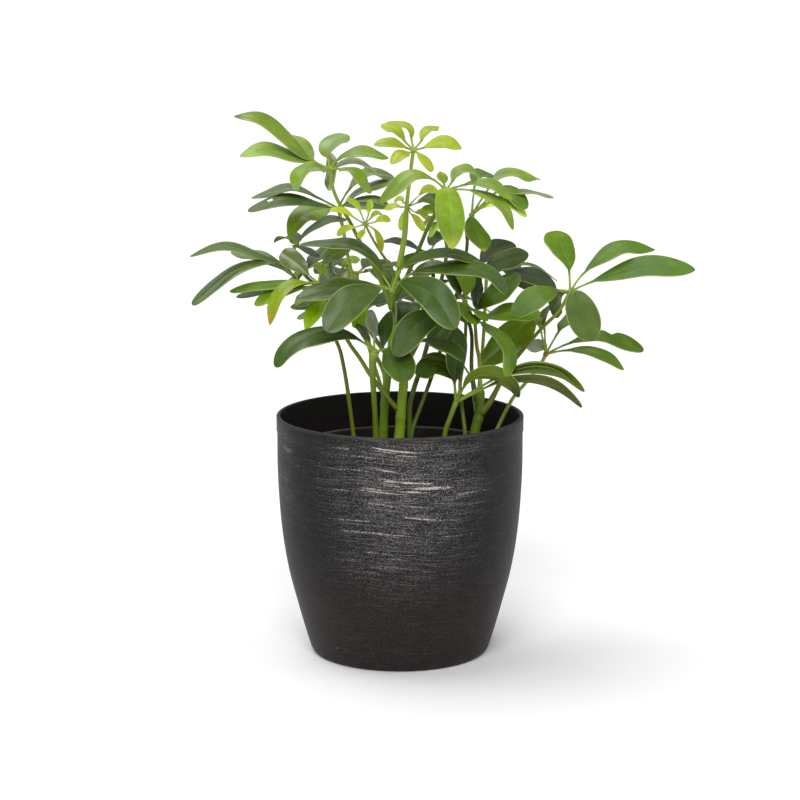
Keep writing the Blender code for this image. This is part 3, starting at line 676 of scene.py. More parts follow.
# foot in the soil (x, back), radii in mm at the soil and at the top, joints as shares of the length,
# colours at the soil and at the top, and points from the soil up (across, up, back)
stems = {
    "stem_left": dict(
        foot=(-10, 0), radius=(3.0, 1.7), joints=(0.3, 0.42, 0.55, 0.68, 0.82, 0.93),
        low=(134, 168, 34), high=(140, 180, 46),
        bract=[(-10.5, -11, 4), (-10.2, -8, 5), (-9.4, -5.5, 6)],
        points=[(-10, -12, 0), (-9, 8, 0), (-7, 26, 0), (-4, 53, 0), (-4, 73, 0), (-1, 88, 0)]),
    "stem_centre": dict(
        foot=(-2, -12), radius=(3.9, 2.5), joints=(0.45, 0.66, 0.9),
        low=(126, 172, 24), high=(166, 200, 52),
        points=[(0, -10, -12), (0.6, 1, -12), (1.5, 11, -10), (2.3, 19, -8), (2.5, 25, -6)]),
    "stem_right": dict(
        foot=(43.5, -5), radius=(3.4, 2.8), joints=(0.5, 0.72, 0.95),
        low=(86, 118, 12), high=(98, 126, 20),
        points=[(45, -11, -4), (47.8, 0, -3), (48, 8, -2), (48, 17, 0)]),
}
rootHeights = (2.5, -6, -26)  # mm over the soil's top


def footed(points, foot):
    # the drawn points, carried on down into the soil
    top = soilLook["top"]
    return [*points, *(Vector((foot[0], foot[1], top + height)) * mm for height in rootHeights)]


def makeStem(name, plan, paint):
    drawn = [place(*point) for point in reversed(plan["points"])]
    path = Path(reversed(footed(drawn, plan["foot"])))
    low, high = plan["radius"]
    colours = plan["low"], plan["high"], bark["ring"]
    lowTone, highTone, ring = (Vector(linear(*colour)) for colour in colours)

    def swell(share, reach):
        return sum(math.exp(-((share - joint) / reach) ** 2) for joint in plan["joints"])

    def radius(share):
        dome = min(1.0, math.sqrt(max(1 - share, 0.0) * bark["dome"] + bark["domeLeast"]))
        wide = low + (high - low) * share + swell(share, bark["swellReach"]) * bark["swell"]
        return wide * mm * dome

    def tone(share):
        scar = min(swell(share, bark["ringReach"]), 1) * bark["ringShare"]
        return lowTone.lerp(highTone, share).lerp(ring, scar)

    def bractRadius(share):
        return bark["bractRadius"] * mm * math.sqrt(max(1 - share, 0.02))

    runs = [(path, bark["rows"], radius, tone)]
    if "bract" in plan:
        dry = Vector(linear(*bark["bract"]))
        bract = Path([place(*point) for point in plan["bract"]])
        runs.append((bract, bark["bractRows"], bractRadius, lambda share: dry))
    piece = finish(name + "_bark", rods(name, runs, bark["sides"]), paint)
    declare(piece, "stem", name)


# each tone was matched to how its leaflets look from the front, so besides the leaves' own greens the
# tones hold painted light and shade: glow, and the lighter tones given to leaflets that lie in shade,
# are painted light; deep is in part painted shade on leaflets in the shadow of others; grey, slate and
# silver are in part painted sheen on blades that face the light
tones = dict(
    fresh=(122, 154, 26), leaf=(92, 126, 16), mid=(80, 114, 16), moss=(70, 98, 18),
    shade=(74, 102, 24), dark=(58, 86, 18), deep=(44, 72, 10), lime=(154, 170, 26),
    young=(196, 208, 46), yellow=(134, 156, 12), dusk=(72, 94, 36), bright=(156, 196, 16),
    pale=(144, 178, 62), grey=(106, 130, 50), slate=(98, 118, 56), olive=(82, 96, 20),
    silver=(184, 194, 170), glow=(206, 242, 76),
)
shines = dict(
    fresh=0.9, leaf=0.3, mid=0.1, moss=0.0, shade=0.9, dark=0.2, deep=0.0, lime=0.5, young=0.7,
    yellow=0.4, dusk=0.7, bright=0.3, pale=1.0, grey=1.0, slate=1.0, olive=0.0, silver=1.0, glow=0.5,
)
ends = dict(
    green=(90, 132, 34), brown=(92, 74, 44), rust=(160, 128, 40), gold=(168, 178, 52),
    spring=(120, 160, 40), night=(40, 62, 44),
)

# thick, least, narrow and stalklet are in mm, as are a rib's last and sunk. fold, camber and ripple are
# shares of the half width, and widest, endFrom and a rib's end are shares of the length. a lower tip or
# base is rounder
bladeLook = dict(
    columns=14, rows=30, crowding=1.35, thick=0.42, fold=0.2, camber=0.17, ripple=0.05,
    waves=(1.3, 2.4),  # ripples along an edge, fewest and most
    offbeat=1.3,  # how far the two edges' ripples are out of step
    widest=0.58, tip=0.48, base=0.85, endFrom=0.72,
    early=0.3,  # how far down its stalklet a blade begins, as a wing
    least=0.35, wingStart=0.4, wingGrowth=12,  # half width of the wing, and how it opens
    narrow=7, narrowLeast=0.6,  # a narrower blade has a slimmer wing
    holeReach=(0.02, 0.2),  # along and to the side
    glow=(0.9, 1.1), hue=(0.96, 1.04),  # how far a blade's lightness and colour stray
    stalklet=0.78,  # radius
)
ribLook = dict(
    points=14, rows=18, end=0.72, last=0.5, thinning=0.8,
    sinkFrom=0.4, sunk=0.25,
    greenFrom=0.6, greenRun=0.8, green=0.7,
)
stalkLook = dict(
    radius=1.4, taper=0.72, rows=34, sides=2,
    flare=0.55, collar=0.25, endReach=0.05, endShare=0.6,  # wider at the foot and below the knob
    stoutReach=0.15, crownReach=0.12,
    knob=1.25,  # times the stalk's radius
    knobDark=0.3,
    edgeOn=0.15,  # the least share of its width that a blade shows
    stalkletRun=0.15,  # how much of a leaflet's depth its stalklet takes up
    pale=(142, 166, 56), paleShare=0.8,
    paleReach=5,  # mm down from the knob
    footReach=0.3,
)

# a leaf: the true width of its leaflets, its stalk from the knob down (across, up, back), and its root,
# which is a stem or a foot in the soil (x, back). thick is the stalk's radius in mm, stout and crown
# widen its foot and its upper end, and knob, knobSize and footTone are for those places.
# a leaflet: the end of its stalklet, points along its midrib and its tip (across, up), how far the tip
# lies behind the knob, the width that the drawing shows, negative where that is the underside and two
# widths where the blade twists, its tone, and what else is its own: an end of another colour, a hole
# (along, side), a notch (along, reach, depth), or a value in place of a usual one
leaves = {
    "leaf_high_left": dict(
        width=17, root="stem_left", stalkTone=(132, 154, 42), slot="leaf_fresh",
        stalk=[(-41.5, 146.5, -20), (-40.5, 136, -18), (-36, 125, -16), (-30, 115, -11), (-25, 105, -6),
               (-14, 85, -2), (-5, 63, 0)],
        leaflets=[
            [(-54.5, 152), (-69, 165.5), (-84, 176.5), (-99.5, 178), -10, 8, "fresh",
             dict(tip=0.7, base=0.6, widest=0.5, end="brown", endFrom=0.88)],
            [(-52, 152), (-60, 161), (-68, 167), 30, 8.5, "fresh"],
            [(-53, 150), (-79, 158), (-96, 154), -15, 8, "pale", dict(tip=0.7)],
            [(-44, 146.5), (-51.5, 147.5), (-59, 143), (-61.3, 133.5), -35, 8.5, "fresh",
             dict(tip=0.75)],
            [(-43.5, 153.5), (-41, 161), (-33.5, 167.5), 25, 11, "fresh", dict(tip=0.35)],
            [(-38, 152), (-24, 157), (-7, 153), 5, 6, "fresh", dict(tip=0.7)],
            [(-38, 148.5), (-27, 150.5), (-15.5, 146), 22, 4, "pale"],
            [(-37, 147), (-27, 144), (-19, 132), -25, 6, "fresh"],
            [(-43.5, 154), (-42, 147), (-40.3, 136), 45, 9, "fresh"],
        ]),
    "leaf_high_left_back": dict(
        # the stalk's light tone makes up for the shade it lies in: painted light
        width=17, root=(-15, 14), stalkTone=(196, 216, 72), slot="leaf_dark",
        stalk=[(-37, 123, 30), (-34, 110, 28), (-31, 93, 25), (-23, 62, 20), (-17, 32, 16),
               (-15, -12, 14)],
        leaflets=[
            [(-50, 130), (-66, 135), (-89, 129), 5, 5, "shade", dict(tip=0.7)],
            [(-43, 124), (-69, 128), (-91, 121), -15, 7, "shade", dict(hole=(0.69, -0.5), shine=0.6)],
            [(-31, 134), (-19, 144), (-4, 142), 20, 6, "grey"],
            [(-33, 126), (-22, 134), (-1, 140), 10, 5, "grey"],
            [(-33, 125), (-20, 127), (-7, 124), -10, 8.5, "shade"],
        ]),
    "leaf_young_left": dict(
        width=5, root="stem_left", thick=1.0, stalkTone=(125, 140, 52), slot="leaf_lime",
        stalk=[(-21, 113.5, -24), (-16, 104, -21), (-11, 96, -17), (-5, 87, -9), (-2.5, 78, 0)],
        leaflets=[
            [(-28, 118), (-35, 122), (-42, 122), 0, 3.5, "young"],
            [(-23.5, 120.5), (-27, 126), (-32, 129), 6, 3.5, "glow"],
            [(-19, 119.5), (-18, 124), (-18.5, 128), 10, 4, "glow"],
            [(-17.5, 117.5), (-14, 120), (-11.5, 120), 10, 3, "young"],
            [(-15, 115), (-10, 117), (-6, 115.5), 3, 4, "young"],
            [(-16, 111), (-12.5, 105), (-11.5, 97), -6, 4, "lime"],
            [(-21.5, 110.5), (-23, 108), (-23.5, 105), -10, 4, "young"],
            [(-27, 112), (-33, 111), (-38, 107.5), 8, 4, "young"],
        ]),
    "leaf_mid_left_back": dict(
        width=17, root="stem_left", stalkTone=(122, 142, 32), slot="leaf_dark",
        stalk=[(-62, 102, 20), (-64, 96, 21), (-58, 84, 23), (-43, 71, 20), (-24, 57, 13), (-13, 42, 6),
               (-5.5, 32, 0)],
        leaflets=[
            [(-66, 104), (-59, 118), (-42, 124), 25, 12, "fresh", dict(shine=1.0)],
            [(-61, 104), (-46, 115), (-32, 116), 0, 4.5, "shade", dict(shine=0.4)],
            [(-64, 103), (-67, 105), (-70, 105), 38, 6, "shade", dict(shine=0.3)],
            [(-61, 101), (-57, 98.5), (-53, 95), -32, 6, "deep"],
        ]),
    "leaf_young_centre": dict(
        width=5, root="stem_left", thick=1.0, stalkTone=(176, 188, 60), slot="leaf_lime",
        stalk=[(4.5, 124, 8), (4, 110, 8), (2, 97, 6), (0, 86, 4), (-3, 79, 0)],
        leaflets=[
            [(2, 127), (0, 128.5), (-3, 128), 10, 3.5, "young"],
            [(0.5, 124), (-4, 124.5), (-9, 122.5), 3, 3.5, "young"],
            [(2.5, 121), (1.5, 116), (0.5, 110), 2, 4, "glow"],
            [(6.5, 120), (10, 116.5), (14.5, 109.5), -4, 4.5, "young"],
            [(11, 130.5), (16.5, 135), (22.5, 133), 12, 5, "young"],
            [(12, 127), (18, 127), (24, 122), 5, 3.5, "leaf"],
            [(9, 121), (13, 121), (17, 117), 0, 4, "lime"],
        ]),
    "leaf_top": dict(
        width=9.5, root="stem_left", thick=1.4, stalkTone=(158, 184, 54), slot="leaf_lime",
        stalk=[(8, 158, -3), (6, 142, -3), (4, 125, -2), (2, 104, -1), (-0.6, 90, 0), (-1.1, 87.5, 0)],
        leaflets=[
            [(4, 159.5), (-5, 162.5), (-15.5, 161), -8, 5.5, "lime", dict(tip=0.7)],
            [(3, 163.5), (-3, 170), (-11, 173), 12, 5.5, "lime"],
            [(7, 165), (4, 171.5), (-8, 174.5), 22, 4.5, "lime"],
            [(12.5, 163.5), (16.5, 169.5), (23.3, 171.8), 15, 5, "lime", dict(tip=0.9)],
            [(14, 159.5), (26, 163), (37, 158.7), -4, 7.4, "lime", dict(tip=0.75)],
            [(10.5, 156.5), (15, 151.5), (18, 145), -18, 5.5, "lime"],
            [(6, 157), (0.5, 155.5), (-4.5, 150), -18, 6.5, "lime"],
        ]),
    "leaf_high_right": dict(
        width=17, root="stem_left", stalkTone=(86, 108, 20), slot="leaf_fresh",
        stalk=[(27.5, 134, -25), (20, 118, -20), (16, 110, -17), (11, 98, -12), (2, 78, -4),
               (-4, 68, 0)],
        leaflets=[
            [(28, 134.5), (30, 118), (31.5, 98.5), -28, 16.5, "fresh",
             dict(tip=0.7, base=0.2, widest=0.48, end="gold", shine=0.1)],
            [(19, 141), (6, 142), (-12, 126), -12, 8.5, "fresh", dict(tip=0.65)],
            [(26.5, 137.5), (25.5, 141), (24, 145), 8, 6, "fresh", dict(tip=0.9, width=7)],
            [(31, 139), (35.5, 144.5), (41.5, 145.5), (47, 143), 14, 6, "fresh"],
            [(39, 137.5), (49, 138.5), (58, 135.5), (67, 128), -5, 6, "fresh", dict(tip=0.6)],
            [(41, 134.5), (53, 130.2), (63, 122), (67.5, 110.5), -22, 6, "fresh", dict(tip=0.6)],
        ]),
    "leaf_high_right_back": dict(
        width=17, root=(6, -16), stalkTone=(88, 112, 26), slot="leaf_dark",
        stalk=[(43, 119, 14), (40, 109, 13), (40, 98, 12), (33, 68, 8), (24, 37, 2), (17, 16.5, -5),
               (11, 0.5, -11), (7, -12, -15)],
        leaflets=[
            [(43, 118.5), (45.5, 109.5), (50.3, 97), -25, 12.5, "leaf",
             dict(tip=0.8, end="gold", endFrom=0.88)],
            [(50, 124), (65, 127.5), (76, 118), 2, 7, "glow", dict(tip=0.7)],
            [(45, 138), (50, 142.5), (55.5, 143), 34, 8, "mid", dict(shine=0)],
            [(55, 137.5), (66, 143.8), (84, 140.2), 22, 6.5, "fresh",
             dict(tip=1.4, end="brown", endFrom=0.93)],
            [(58, 133), (68, 131), (76, 123), -2, 9.5, "grey", dict(end="green", endFrom=0.35)],
            [(58, 130), (75, 133), (92, 130), 12, 2.4, "grey"],
        ]),
    "leaf_high_centre_back": dict(
        width=14, root="stem_centre", stalkTone=(120, 128, 28), slot="leaf_dark",
        stalk=[(28, 122, 16), (27, 107, 10), (28, 96, 5), (22, 70, 0), (12, 45, -2), (5, 31, -4),
               (2.3, 22, -7)],
        leaflets=[
            [(24, 121), (18, 122), (11.5, 120.5), 4, 5.5, "bright"],
            [(25, 126), (18, 129.8), (12, 128.5), 14, 4.5, "dark"],
            [(24.5, 118), (19.5, 116.5), (14, 112.5), -2, 4, "young"],
            [(26, 117), (21.5, 113), (18.5, 106), -8, 5, "glow"],
        ]),
    "leaf_centre_front": dict(
        width=20, root="stem_left", stalkTone=(102, 134, 22), slot="leaf_dark",
        stalk=[(-5, 74, -30), (-4, 66, -20), (-4, 58, -8), (-4, 54, 0)],
        leaflets=[
            [(-10, 83), (-18, 95), (-33, 101.5), (-60, 101), 12, (9.5, 4), "shade", dict(shine=0.6)],
            [(-15, 77), (-39, 75), (-61, 69), -2, 11, "dusk"],
            [(-11, 75), (-30, 67), (-44, 49), -25, 19, "dusk", dict(shine=0.35)],
            [(2, 88), (27, 96), (48, 91), 10, 6.5, "moss"],
            [(7, 84), (33, 87), (54, 83.5), (64, 71.5), -5, (8, 9.5), "shade"],
            [(-1, 79), (19, 72), (33, 51), -28, 19, "dark"],
        ]),
    "leaf_centre_low": dict(
        width=19, root=(38, -14), stalkTone=(102, 120, 28), slot="leaf_dark",
        stalk=[(39, 67, -14), (39.5, 55, -12), (39, 41, -8), (38, 31, -4), (36, 17, -5), (37, 5, -8),
               (39, -12, -13)],
        leaflets=[
            [(27, 60.5), (10, 53), (-2, 34), -38, 17, "dark"],
            [(39, 69), (38.8, 79), (37.5, 93), 14, 11.5, "fresh", dict(base=1.3, shine=0.5)],
            [(38.5, 65), (40, 60.5), (44, 53.5), -14, 8.5, "leaf"],
            [(43, 63), (47, 60), (50.5, 55.5), -8, 5, "leaf"],
            [(36, 71), (32, 80), (29.5, 89), 12, 8, "moss"],
            [(34, 61), (26, 52), (17.5, 41), -2, 11, "shade"],
        ]),
    "leaf_right_upper_back": dict(
        width=19, root="stem_right", stalkTone=(88, 94, 24), slot="leaf_dark",
        stalk=[(38, 82.5, 20), (39.5, 62, 17), (43, 47, 14), (43, 26, 8), (46, 8, -1)],
        leaflets=[
            [(48, 90), (58, 98), (68, 102), 18, 13, "deep"],
            [(50, 87), (64, 92), (77, 95), -3, 12, "moss"],
            [(33, 84), (20, 88), (8, 82), 0, 8, "shade"],
            [(30, 80), (6, 75), (-19.5, 66), 8, 9, "dark", dict(shine=0)],
        ]),
    "leaf_right_mid": dict(
        width=19, root="stem_right", stalkTone=(150, 160, 66), slot="leaf_dark",
        stalk=[(45, 55.5, 4), (46, 41, 3), (47.5, 33, 2), (48, 21, 0), (48, 15, 0)],
        leaflets=[
            [(46, 62), (58, 72), (72, 83), 2, 13, "mid"],
            [(50, 57), (66, 60.5), (84, 60), 6, 11, "fresh"],
            [(48, 55), (59, 46.5), (64.5, 35), (62.3, 23.7), -50, 9, "leaf", dict(end="spring")],
            [(45.5, 63), (46.5, 73), (46.5, 83), 10, 7, "deep"],
        ]),
    "leaf_right_low_back": dict(
        width=21, root="stem_right", stalkTone=(110, 122, 24), slot="leaf_dark",
        stalk=[(43, 21, 28), (44, 14, 20), (45, 6, 8), (46, 1, -2)],
        leaflets=[
            [(47, 27), (64, 42), (80, 58), 12, 20, "fresh"],
            [(38, 30), (33, 43), (29.5, 56), 2, 10, "dark"],
        ]),
    "leaf_far_right": dict(
        width=19, root="stem_right", stout=0.8, stalkTone=(114, 126, 24), slot="leaf_fresh",
        stalk=[(102, 73, -14), (95, 61, -16), (84, 50, -12), (68, 31, 0), (60, 18, 0), (54, 7, -2),
               (48, 0, -3)],
        leaflets=[
            [(101.5, 85.5), (98, 97), (91, 109), 18, 14.5, "leaf", dict(tip=0.32, widest=0.72)],
            [(111, 85), (132, 99), (153, 98), 15, 9, "mid", dict(tip=0.8, widest=0.5)],
            [(115, 79), (147, 88), (177, 86), -10, 12.5, "mid", dict(tip=0.6, widest=0.62)],
            [(104.5, 73.5), (108.5, 62), (115.3, 43.5), -28, 18.8, "moss", dict(base=0.5)],
            [(95, 74), (82, 70), (69, 58), -22, 14, "mid"],
            [(94, 74), (80, 81.5), (66, 86), 47, 11, "deep"],
            [(98, 72), (95, 68), (91, 60), 10, 11, "shade"],
        ]),
    "leaf_right_low": dict(
        width=16, root=(51, 4), stalkTone=(142, 162, 64), knob=(156, 112, 62), slot="leaf_fresh",
        stalk=[(87.5, 35.5, 12), (84.6, 30, 12), (76, 19, 10), (67, 8, 7), (57, -12, 4)],
        leaflets=[
            [(101, 42), (122, 46), (146, 38), 8, 8.5, "mid",
             dict(tip=0.42, widest=0.7, notch=(0.6, 0.05, 0.5))],
            [(100, 38), (119, 36), (134, 26), -12, 6.5, "leaf", dict(tip=0.6)],
            [(95, 49), (102, 56), (112, 66), 22, 8, "leaf"],
            [(86.5, 52.5), (87, 59), (90, 65), 26, 7, "moss"],
            [(84, 52), (80, 57), (76, 60), 14, 7, "fresh"],
            [(88, 38.5), (82.5, 40.5), (77, 43), 8, 9, "silver"],
        ]),
    "leaf_front_low": dict(
        width=18, root=(25, -22), thick=2.0, knobSize=0.85, stalkTone=(110, 130, 20), slot="leaf_dark",
        stalk=[(33.5, 6.5, -18), (30, -3, -20), (27, -12, -21)],
        leaflets=[
            [(54, 19.5), (70, 25.3), (84, 27), (98, 23.5), (110.4, 12.9), -5, -6.5, "pale",
             dict(stalklet=1.15)],
            [(53, 16.5), (67, 20.3), (82, 19.7), (96, 15.5), (109, 3.5), -20, -5.5, "olive",
             dict(stalklet=1.1)],
            [(38, 15.5), (45, 22.5), (57, 23.3), (67, 17.5), (71.5, 10), -20, -8.5, "pale",
             dict(stalklet=1.1, end="night", endFrom=0.66)],
            [(32, 20), (23, 29), (9, 25), 8, 14, "moss", dict(stalklet=1.2)],
            [(33, 19), (33.5, 35), (32.5, 51), -6, 13, "dark", dict(stalklet=1.2)],
            [(36, 19.5), (28.5, 29), (13, 32), 12, -4.5, "olive"],
            [(58, 22), (78, 29.3), (96, 26.8), (109.5, 14.5), 1, 3.5, "fresh"],
        ]),
    "leaf_left_low": dict(
        width=19, root=(-14, -21), thick=1.9, crown=1.0, stalkTone=(114, 132, 26), slot="leaf_dark",
        stalk=[(-15.5, 37, -28), (-16.5, 29, -27), (-16, 15, -24), (-15, 0, -22), (-14.5, -12, -21)],
        leaflets=[
            [(-10.5, 39.5), (-8, 52), (-6, 61), 8, 8.5, "deep"],
            [(13, 43.5), (22, 42.5), (31, 38), (38, 31), -16, 8, "dark", dict(shine=0)],
            [(-9.5, 37.5), (-1.5, 31), (2, 18.5), -32, 18.5, "moss", dict(base=0.6)],
            [(-24, 44), (-38, 47.6), (-57, 44.5), (-68, 37), (-74, 27.5), -18, 11, "dark",
             dict(tip=0.42, shine=0.5)],
            [(-15.5, 46), (-17, 52), (-16, 61), 14, 8, "silver"],
            [(-18, 43), (-21.5, 48), (-26, 54), 4, 5, "shade"],
        ]),
    "leaf_far_left": dict(
        width=16, root=(-26, 0), stalkTone=(122, 130, 32), slot="leaf_dark",
        stalk=[(-62, 79.5, 5), (-52, 68, 4), (-38, 43, 1), (-34, 29, 0), (-31, 11, 0), (-28, -12, 0)],
        leaflets=[
            [(-70, 88), (-104, 100), (-126, 94), 8, 5, "shade", dict(tip=0.7, shine=0.35)],
            [(-66, 84), (-82, 93), (-101, 97), 28, 6.5, "grey"],
            [(-72, 90), (-98, 86), (-124.5, 65), -10, 7, "shade", dict(tip=0.4, widest=0.7)],
            [(-61, 82), (-60, 86), (-59, 89), 8, 5, "bright"],
            [(-55, 88.5), (-48, 95.5), (-41, 102.5), 34, 8, "leaf", dict(shine=0.5)],
        ]),
    "leaf_left_fresh": dict(
        width=12, root="stem_centre", stalkTone=(132, 150, 32), slot="leaf_light",
        stalk=[(-49, 78, -10), (-40, 60, -10), (-31, 43, -10), (-24, 33, -10), (-17, 22, -11),
               (-7, 9, -12), (-1, 2, -12)],
        leaflets=[
            [(-54.5, 83), (-61.5, 90), (-71, 96.5), 5, 12, "slate", dict(tip=0.3, widest=0.72)],
            [(-56, 78.5), (-83, 76.3), (-102, 73), 4, 5.5, "leaf"],
            [(-56, 78), (-80, 74), (-98, 70), 16, 5, "slate", dict(shine=0.6)],
            [(-56, 76), (-73, 73), (-87, 65), -3, 8, "fresh"],
            [(-55, 78.5), (-66, 77), (-74, 69), (-78, 53), -14, 7.5, "yellow",
             dict(tip=0.8, end="rust")],
            [(-52, 75), (-57, 71), (-62, 65), -10, 5, "pale"],
            [(-48, 71), (-55, 65), (-65.5, 64), 6, 5, "pale"],
            [(-45, 70), (-51.5, 60.5), (-56.8, 49.3), -14, 10, "bright",
             dict(tip=1.0, widest=0.45, end="rust", endFrom=0.9)],
            [(-46, 69), (-52, 61), (-61.5, 57.5), 12, 4.5, "pale"],
            [(-27, 71), (-22.5, 62), (-27.5, 51.5), -4, 8, "bright"],
            [(-46, 90.5), (-39, 96), (-31, 101.5), 30, 9, "leaf"],
        ]),
    "leaf_left_inner": dict(
        width=10, root="stem_left", stalkTone=(150, 164, 32), slot="leaf_light",
        stalk=[(-38, 79.5, 31), (-30, 60, 31), (-12, 30, 22), (-8.5, 17, 0)],
        leaflets=[
            [(-44, 83), (-47.3, 87.5), (-51.5, 90.5), 4, 4.5, "glow"],
            [(-34.5, 87.5), (-30, 91.7), (-24.3, 92.5), 4, 5, "bright"],
            [(-43, 82), (-46, 85), (-49, 88), 14, 5, "lime"],
            [(-39.5, 83), (-40.5, 86), (-40, 89), 18, 5, "shade"],
            [(-36, 78), (-30, 82), (-26, 80), 15, 6, "lime"],
        ]),
    "leaf_centre_back": dict(
        # footTone lightens the stalk's foot where it lies in shade inside the pot: painted light
        width=17, root=(6, -8), thick=1.7, stout=0.6, stalkTone=(84, 100, 26), footTone=(136, 168, 40),
        slot="leaf_dark",
        stalk=[(18.5, 97, 42), (20, 80, 40), (18, 50, 28), (13, 29, 8), (9, 17, -4), (5.8, 4, -7),
               (6, -12, -8)],
        leaflets=[
            [(13, 98), (0, 103), (-9.5, 103.5), 8, 4, "deep"],
            [(14, 97), (8, 93), (2, 87), -12, 8, "leaf"],
            [(20, 101), (24, 105), (30, 104), 30, 8, "deep"],
        ]),
}

# leaves on the far side, spread evenly round their knobs
farLeaves = {
    "leaf_back_left": dict(
        foot=(-10, 30), count=6, turn=5,
        stalk=[(-26, 84, 82), (-20, 45, 58), (-10, 10, 36), (-10, -12, 30)]),
    "leaf_back_centre": dict(
        foot=(-0.5, 34), count=6, turn=10,
        stalk=[(14, 64, 84), (9, 45, 66), (1, 11, 42), (-0.5, -12, 34)]),
    "leaf_back_right": dict(
        foot=(43, 22), count=6, turn=5,
        stalk=[(52, 84, 66), (50, 45, 50), (47, 8, 28), (44, -12, 22)]),
}
farLook = dict(
    length=44, width=18,
    arch=((0.2, 0.05), (0.6, 0.12), (1.0, -0.12)),  # out and up along a leaflet, in shares of its length
    tones=("dark", "mid", "dark", "moss"), stalkTone=(166, 190, 66),
)


def seenAcross(seen, width, knots):
    # the direction over a blade that makes it look seen wide from the lens, its upper face up
    first, last = seen if isinstance(seen, tuple) else (seen, seen)
    along = knots[-1] - knots[1]
    level = along.cross(knots[-1] - eye)
    side = -1 if level.z > 0 else 1

    def across(tangent, point):
        share = min((point - knots[1]).length / along.length, 1)
        turn = max(min(abs(first + (last - first) * share) / width, 1), stalkLook["edgeOn"])
        levelHere = tangent.cross((point - eye).normalized()).normalized()
        face = math.copysign(turn, first)
        over = levelHere * face + tangent.cross(levelHere) * math.sqrt(1 - turn ** 2) * side
        return over.normalized()

    return across


def outline(t, look):
    # half width along a blade: a wedge at its base, widest past its middle, round or pointed at its tip
    widest = look["widest"]
    if t < widest:
        return math.sin(math.pi / 2 * t / widest) ** look["base"]
    return max(math.cos(math.pi / 2 * (t - widest) / (1 - widest)), 0) ** look["tip"]


def growBlade(bm, marks, path, start, width, across, tone, end, look, draw):
    rows = look["rows"]
    made = bmesh.ops.create_grid(bm, x_segments=look["columns"], y_segments=rows, size=1)
    phase, waves = draw.uniform(0, math.tau), draw.uniform(*look["waves"])
    wing = start * (1 - look["early"])
    lines = []
    for row in range(rows + 1):
        t = 1 - (1 - row / rows) ** look["crowding"]
        share = wing + (1 - wing) * t
        point, tangent = path.at(share), path.tangent(share)
        over = across(tangent, point)
        full = max((share - start) / (1 - start), 0)
        least = look["least"] * mm * min(1, look["wingStart"] + t * look["wingGrowth"])
        half = max(width / 2 * outline(full, look), least)
        late = min(max((t - look["endFrom"]) / (1 - look["endFrom"]), 0), 1)
        colour = Vector(tone).lerp(Vector(end), late * late * (3 - 2 * late))
        lines.append((t, point, over, tangent.cross(over), half, colour))
    for vert in made["verts"]:
        t, point, over, upper, half, colour = lines[round((vert.co.y + 1) / 2 * rows)]
        side = math.copysign((1 - math.cos(math.pi * abs(vert.co.x))) / 2, vert.co.x)
        wave = math.sin(math.tau * waves * t + phase + (look["offbeat"] if side > 0 else 0))
        lift = look["fold"] * abs(side) - look["camber"] * side ** 2 + look["ripple"] * wave * side ** 2
        if "notch" in look and side > 0:
            nick, reach, depth = look["notch"]
            half *= 1 - depth * math.exp(-((t - nick) / reach) ** 2)
        vert.co = point + over * side * half + upper * lift * half
        vert[marks["along"]] = t
        vert[marks["side"]] = side
        vert[marks["shine"]] = look["shine"]
        vert[marks["half"]] = 1.0 if side > 0 else 0.0
        vert[marks["upper"]] = upper
        vert[marks["tone"]] = (*colour, 1)
    if "hole" in look:
        far, aside = look["hole"]
        long, broad = look["holeReach"]

        def bitten(face):
            first = face.verts[0]
            return abs(first[marks["along"]] - far) < long and abs(first[marks["side"]] - aside) < broad

        gone = dict.fromkeys(face for vert in made["verts"] for face in vert.link_faces if bitten(face))
        bmesh.ops.delete(bm, geom=list(gone), context="FACES")


def growRib(line, start, across, look, slim, pale, colour):
    # the stalklet, which runs on under its blade as the rib
    end = start + (1 - start) * ribLook["end"]
    reach = start / end
    sinkFrom = ribLook["sinkFrom"]
    drop = []
    for step in range(ribLook["points"] + 1):
        share = step / ribLook["points"] * end
        tangent = line.tangent(share)
        upper = tangent.cross(across(tangent, line.at(share)))
        sunk = min(max((share - start * sinkFrom) / (start * (1 - sinkFrom)), 0), 1)
        drop.append(line.at(share) - upper * (look["thick"] * 0.5 + ribLook["sunk"]) * mm * sunk)

    def radius(share):
        first, last = look["stalklet"] * slim, ribLook["last"] * slim
        if share < reach:
            return (first + (last - first) * share / reach) * mm
        return last * (1 - ribLook["thinning"] * (share - reach) / (1 - reach)) * mm

    def tone(share):
        green = min(max((share - reach * ribLook["greenFrom"]) / (reach * ribLook["greenRun"]), 0), 1)
        return pale.lerp(Vector(colour), ribLook["green"] * green)

    return Path(drop), ribLook["rows"], radius, tone


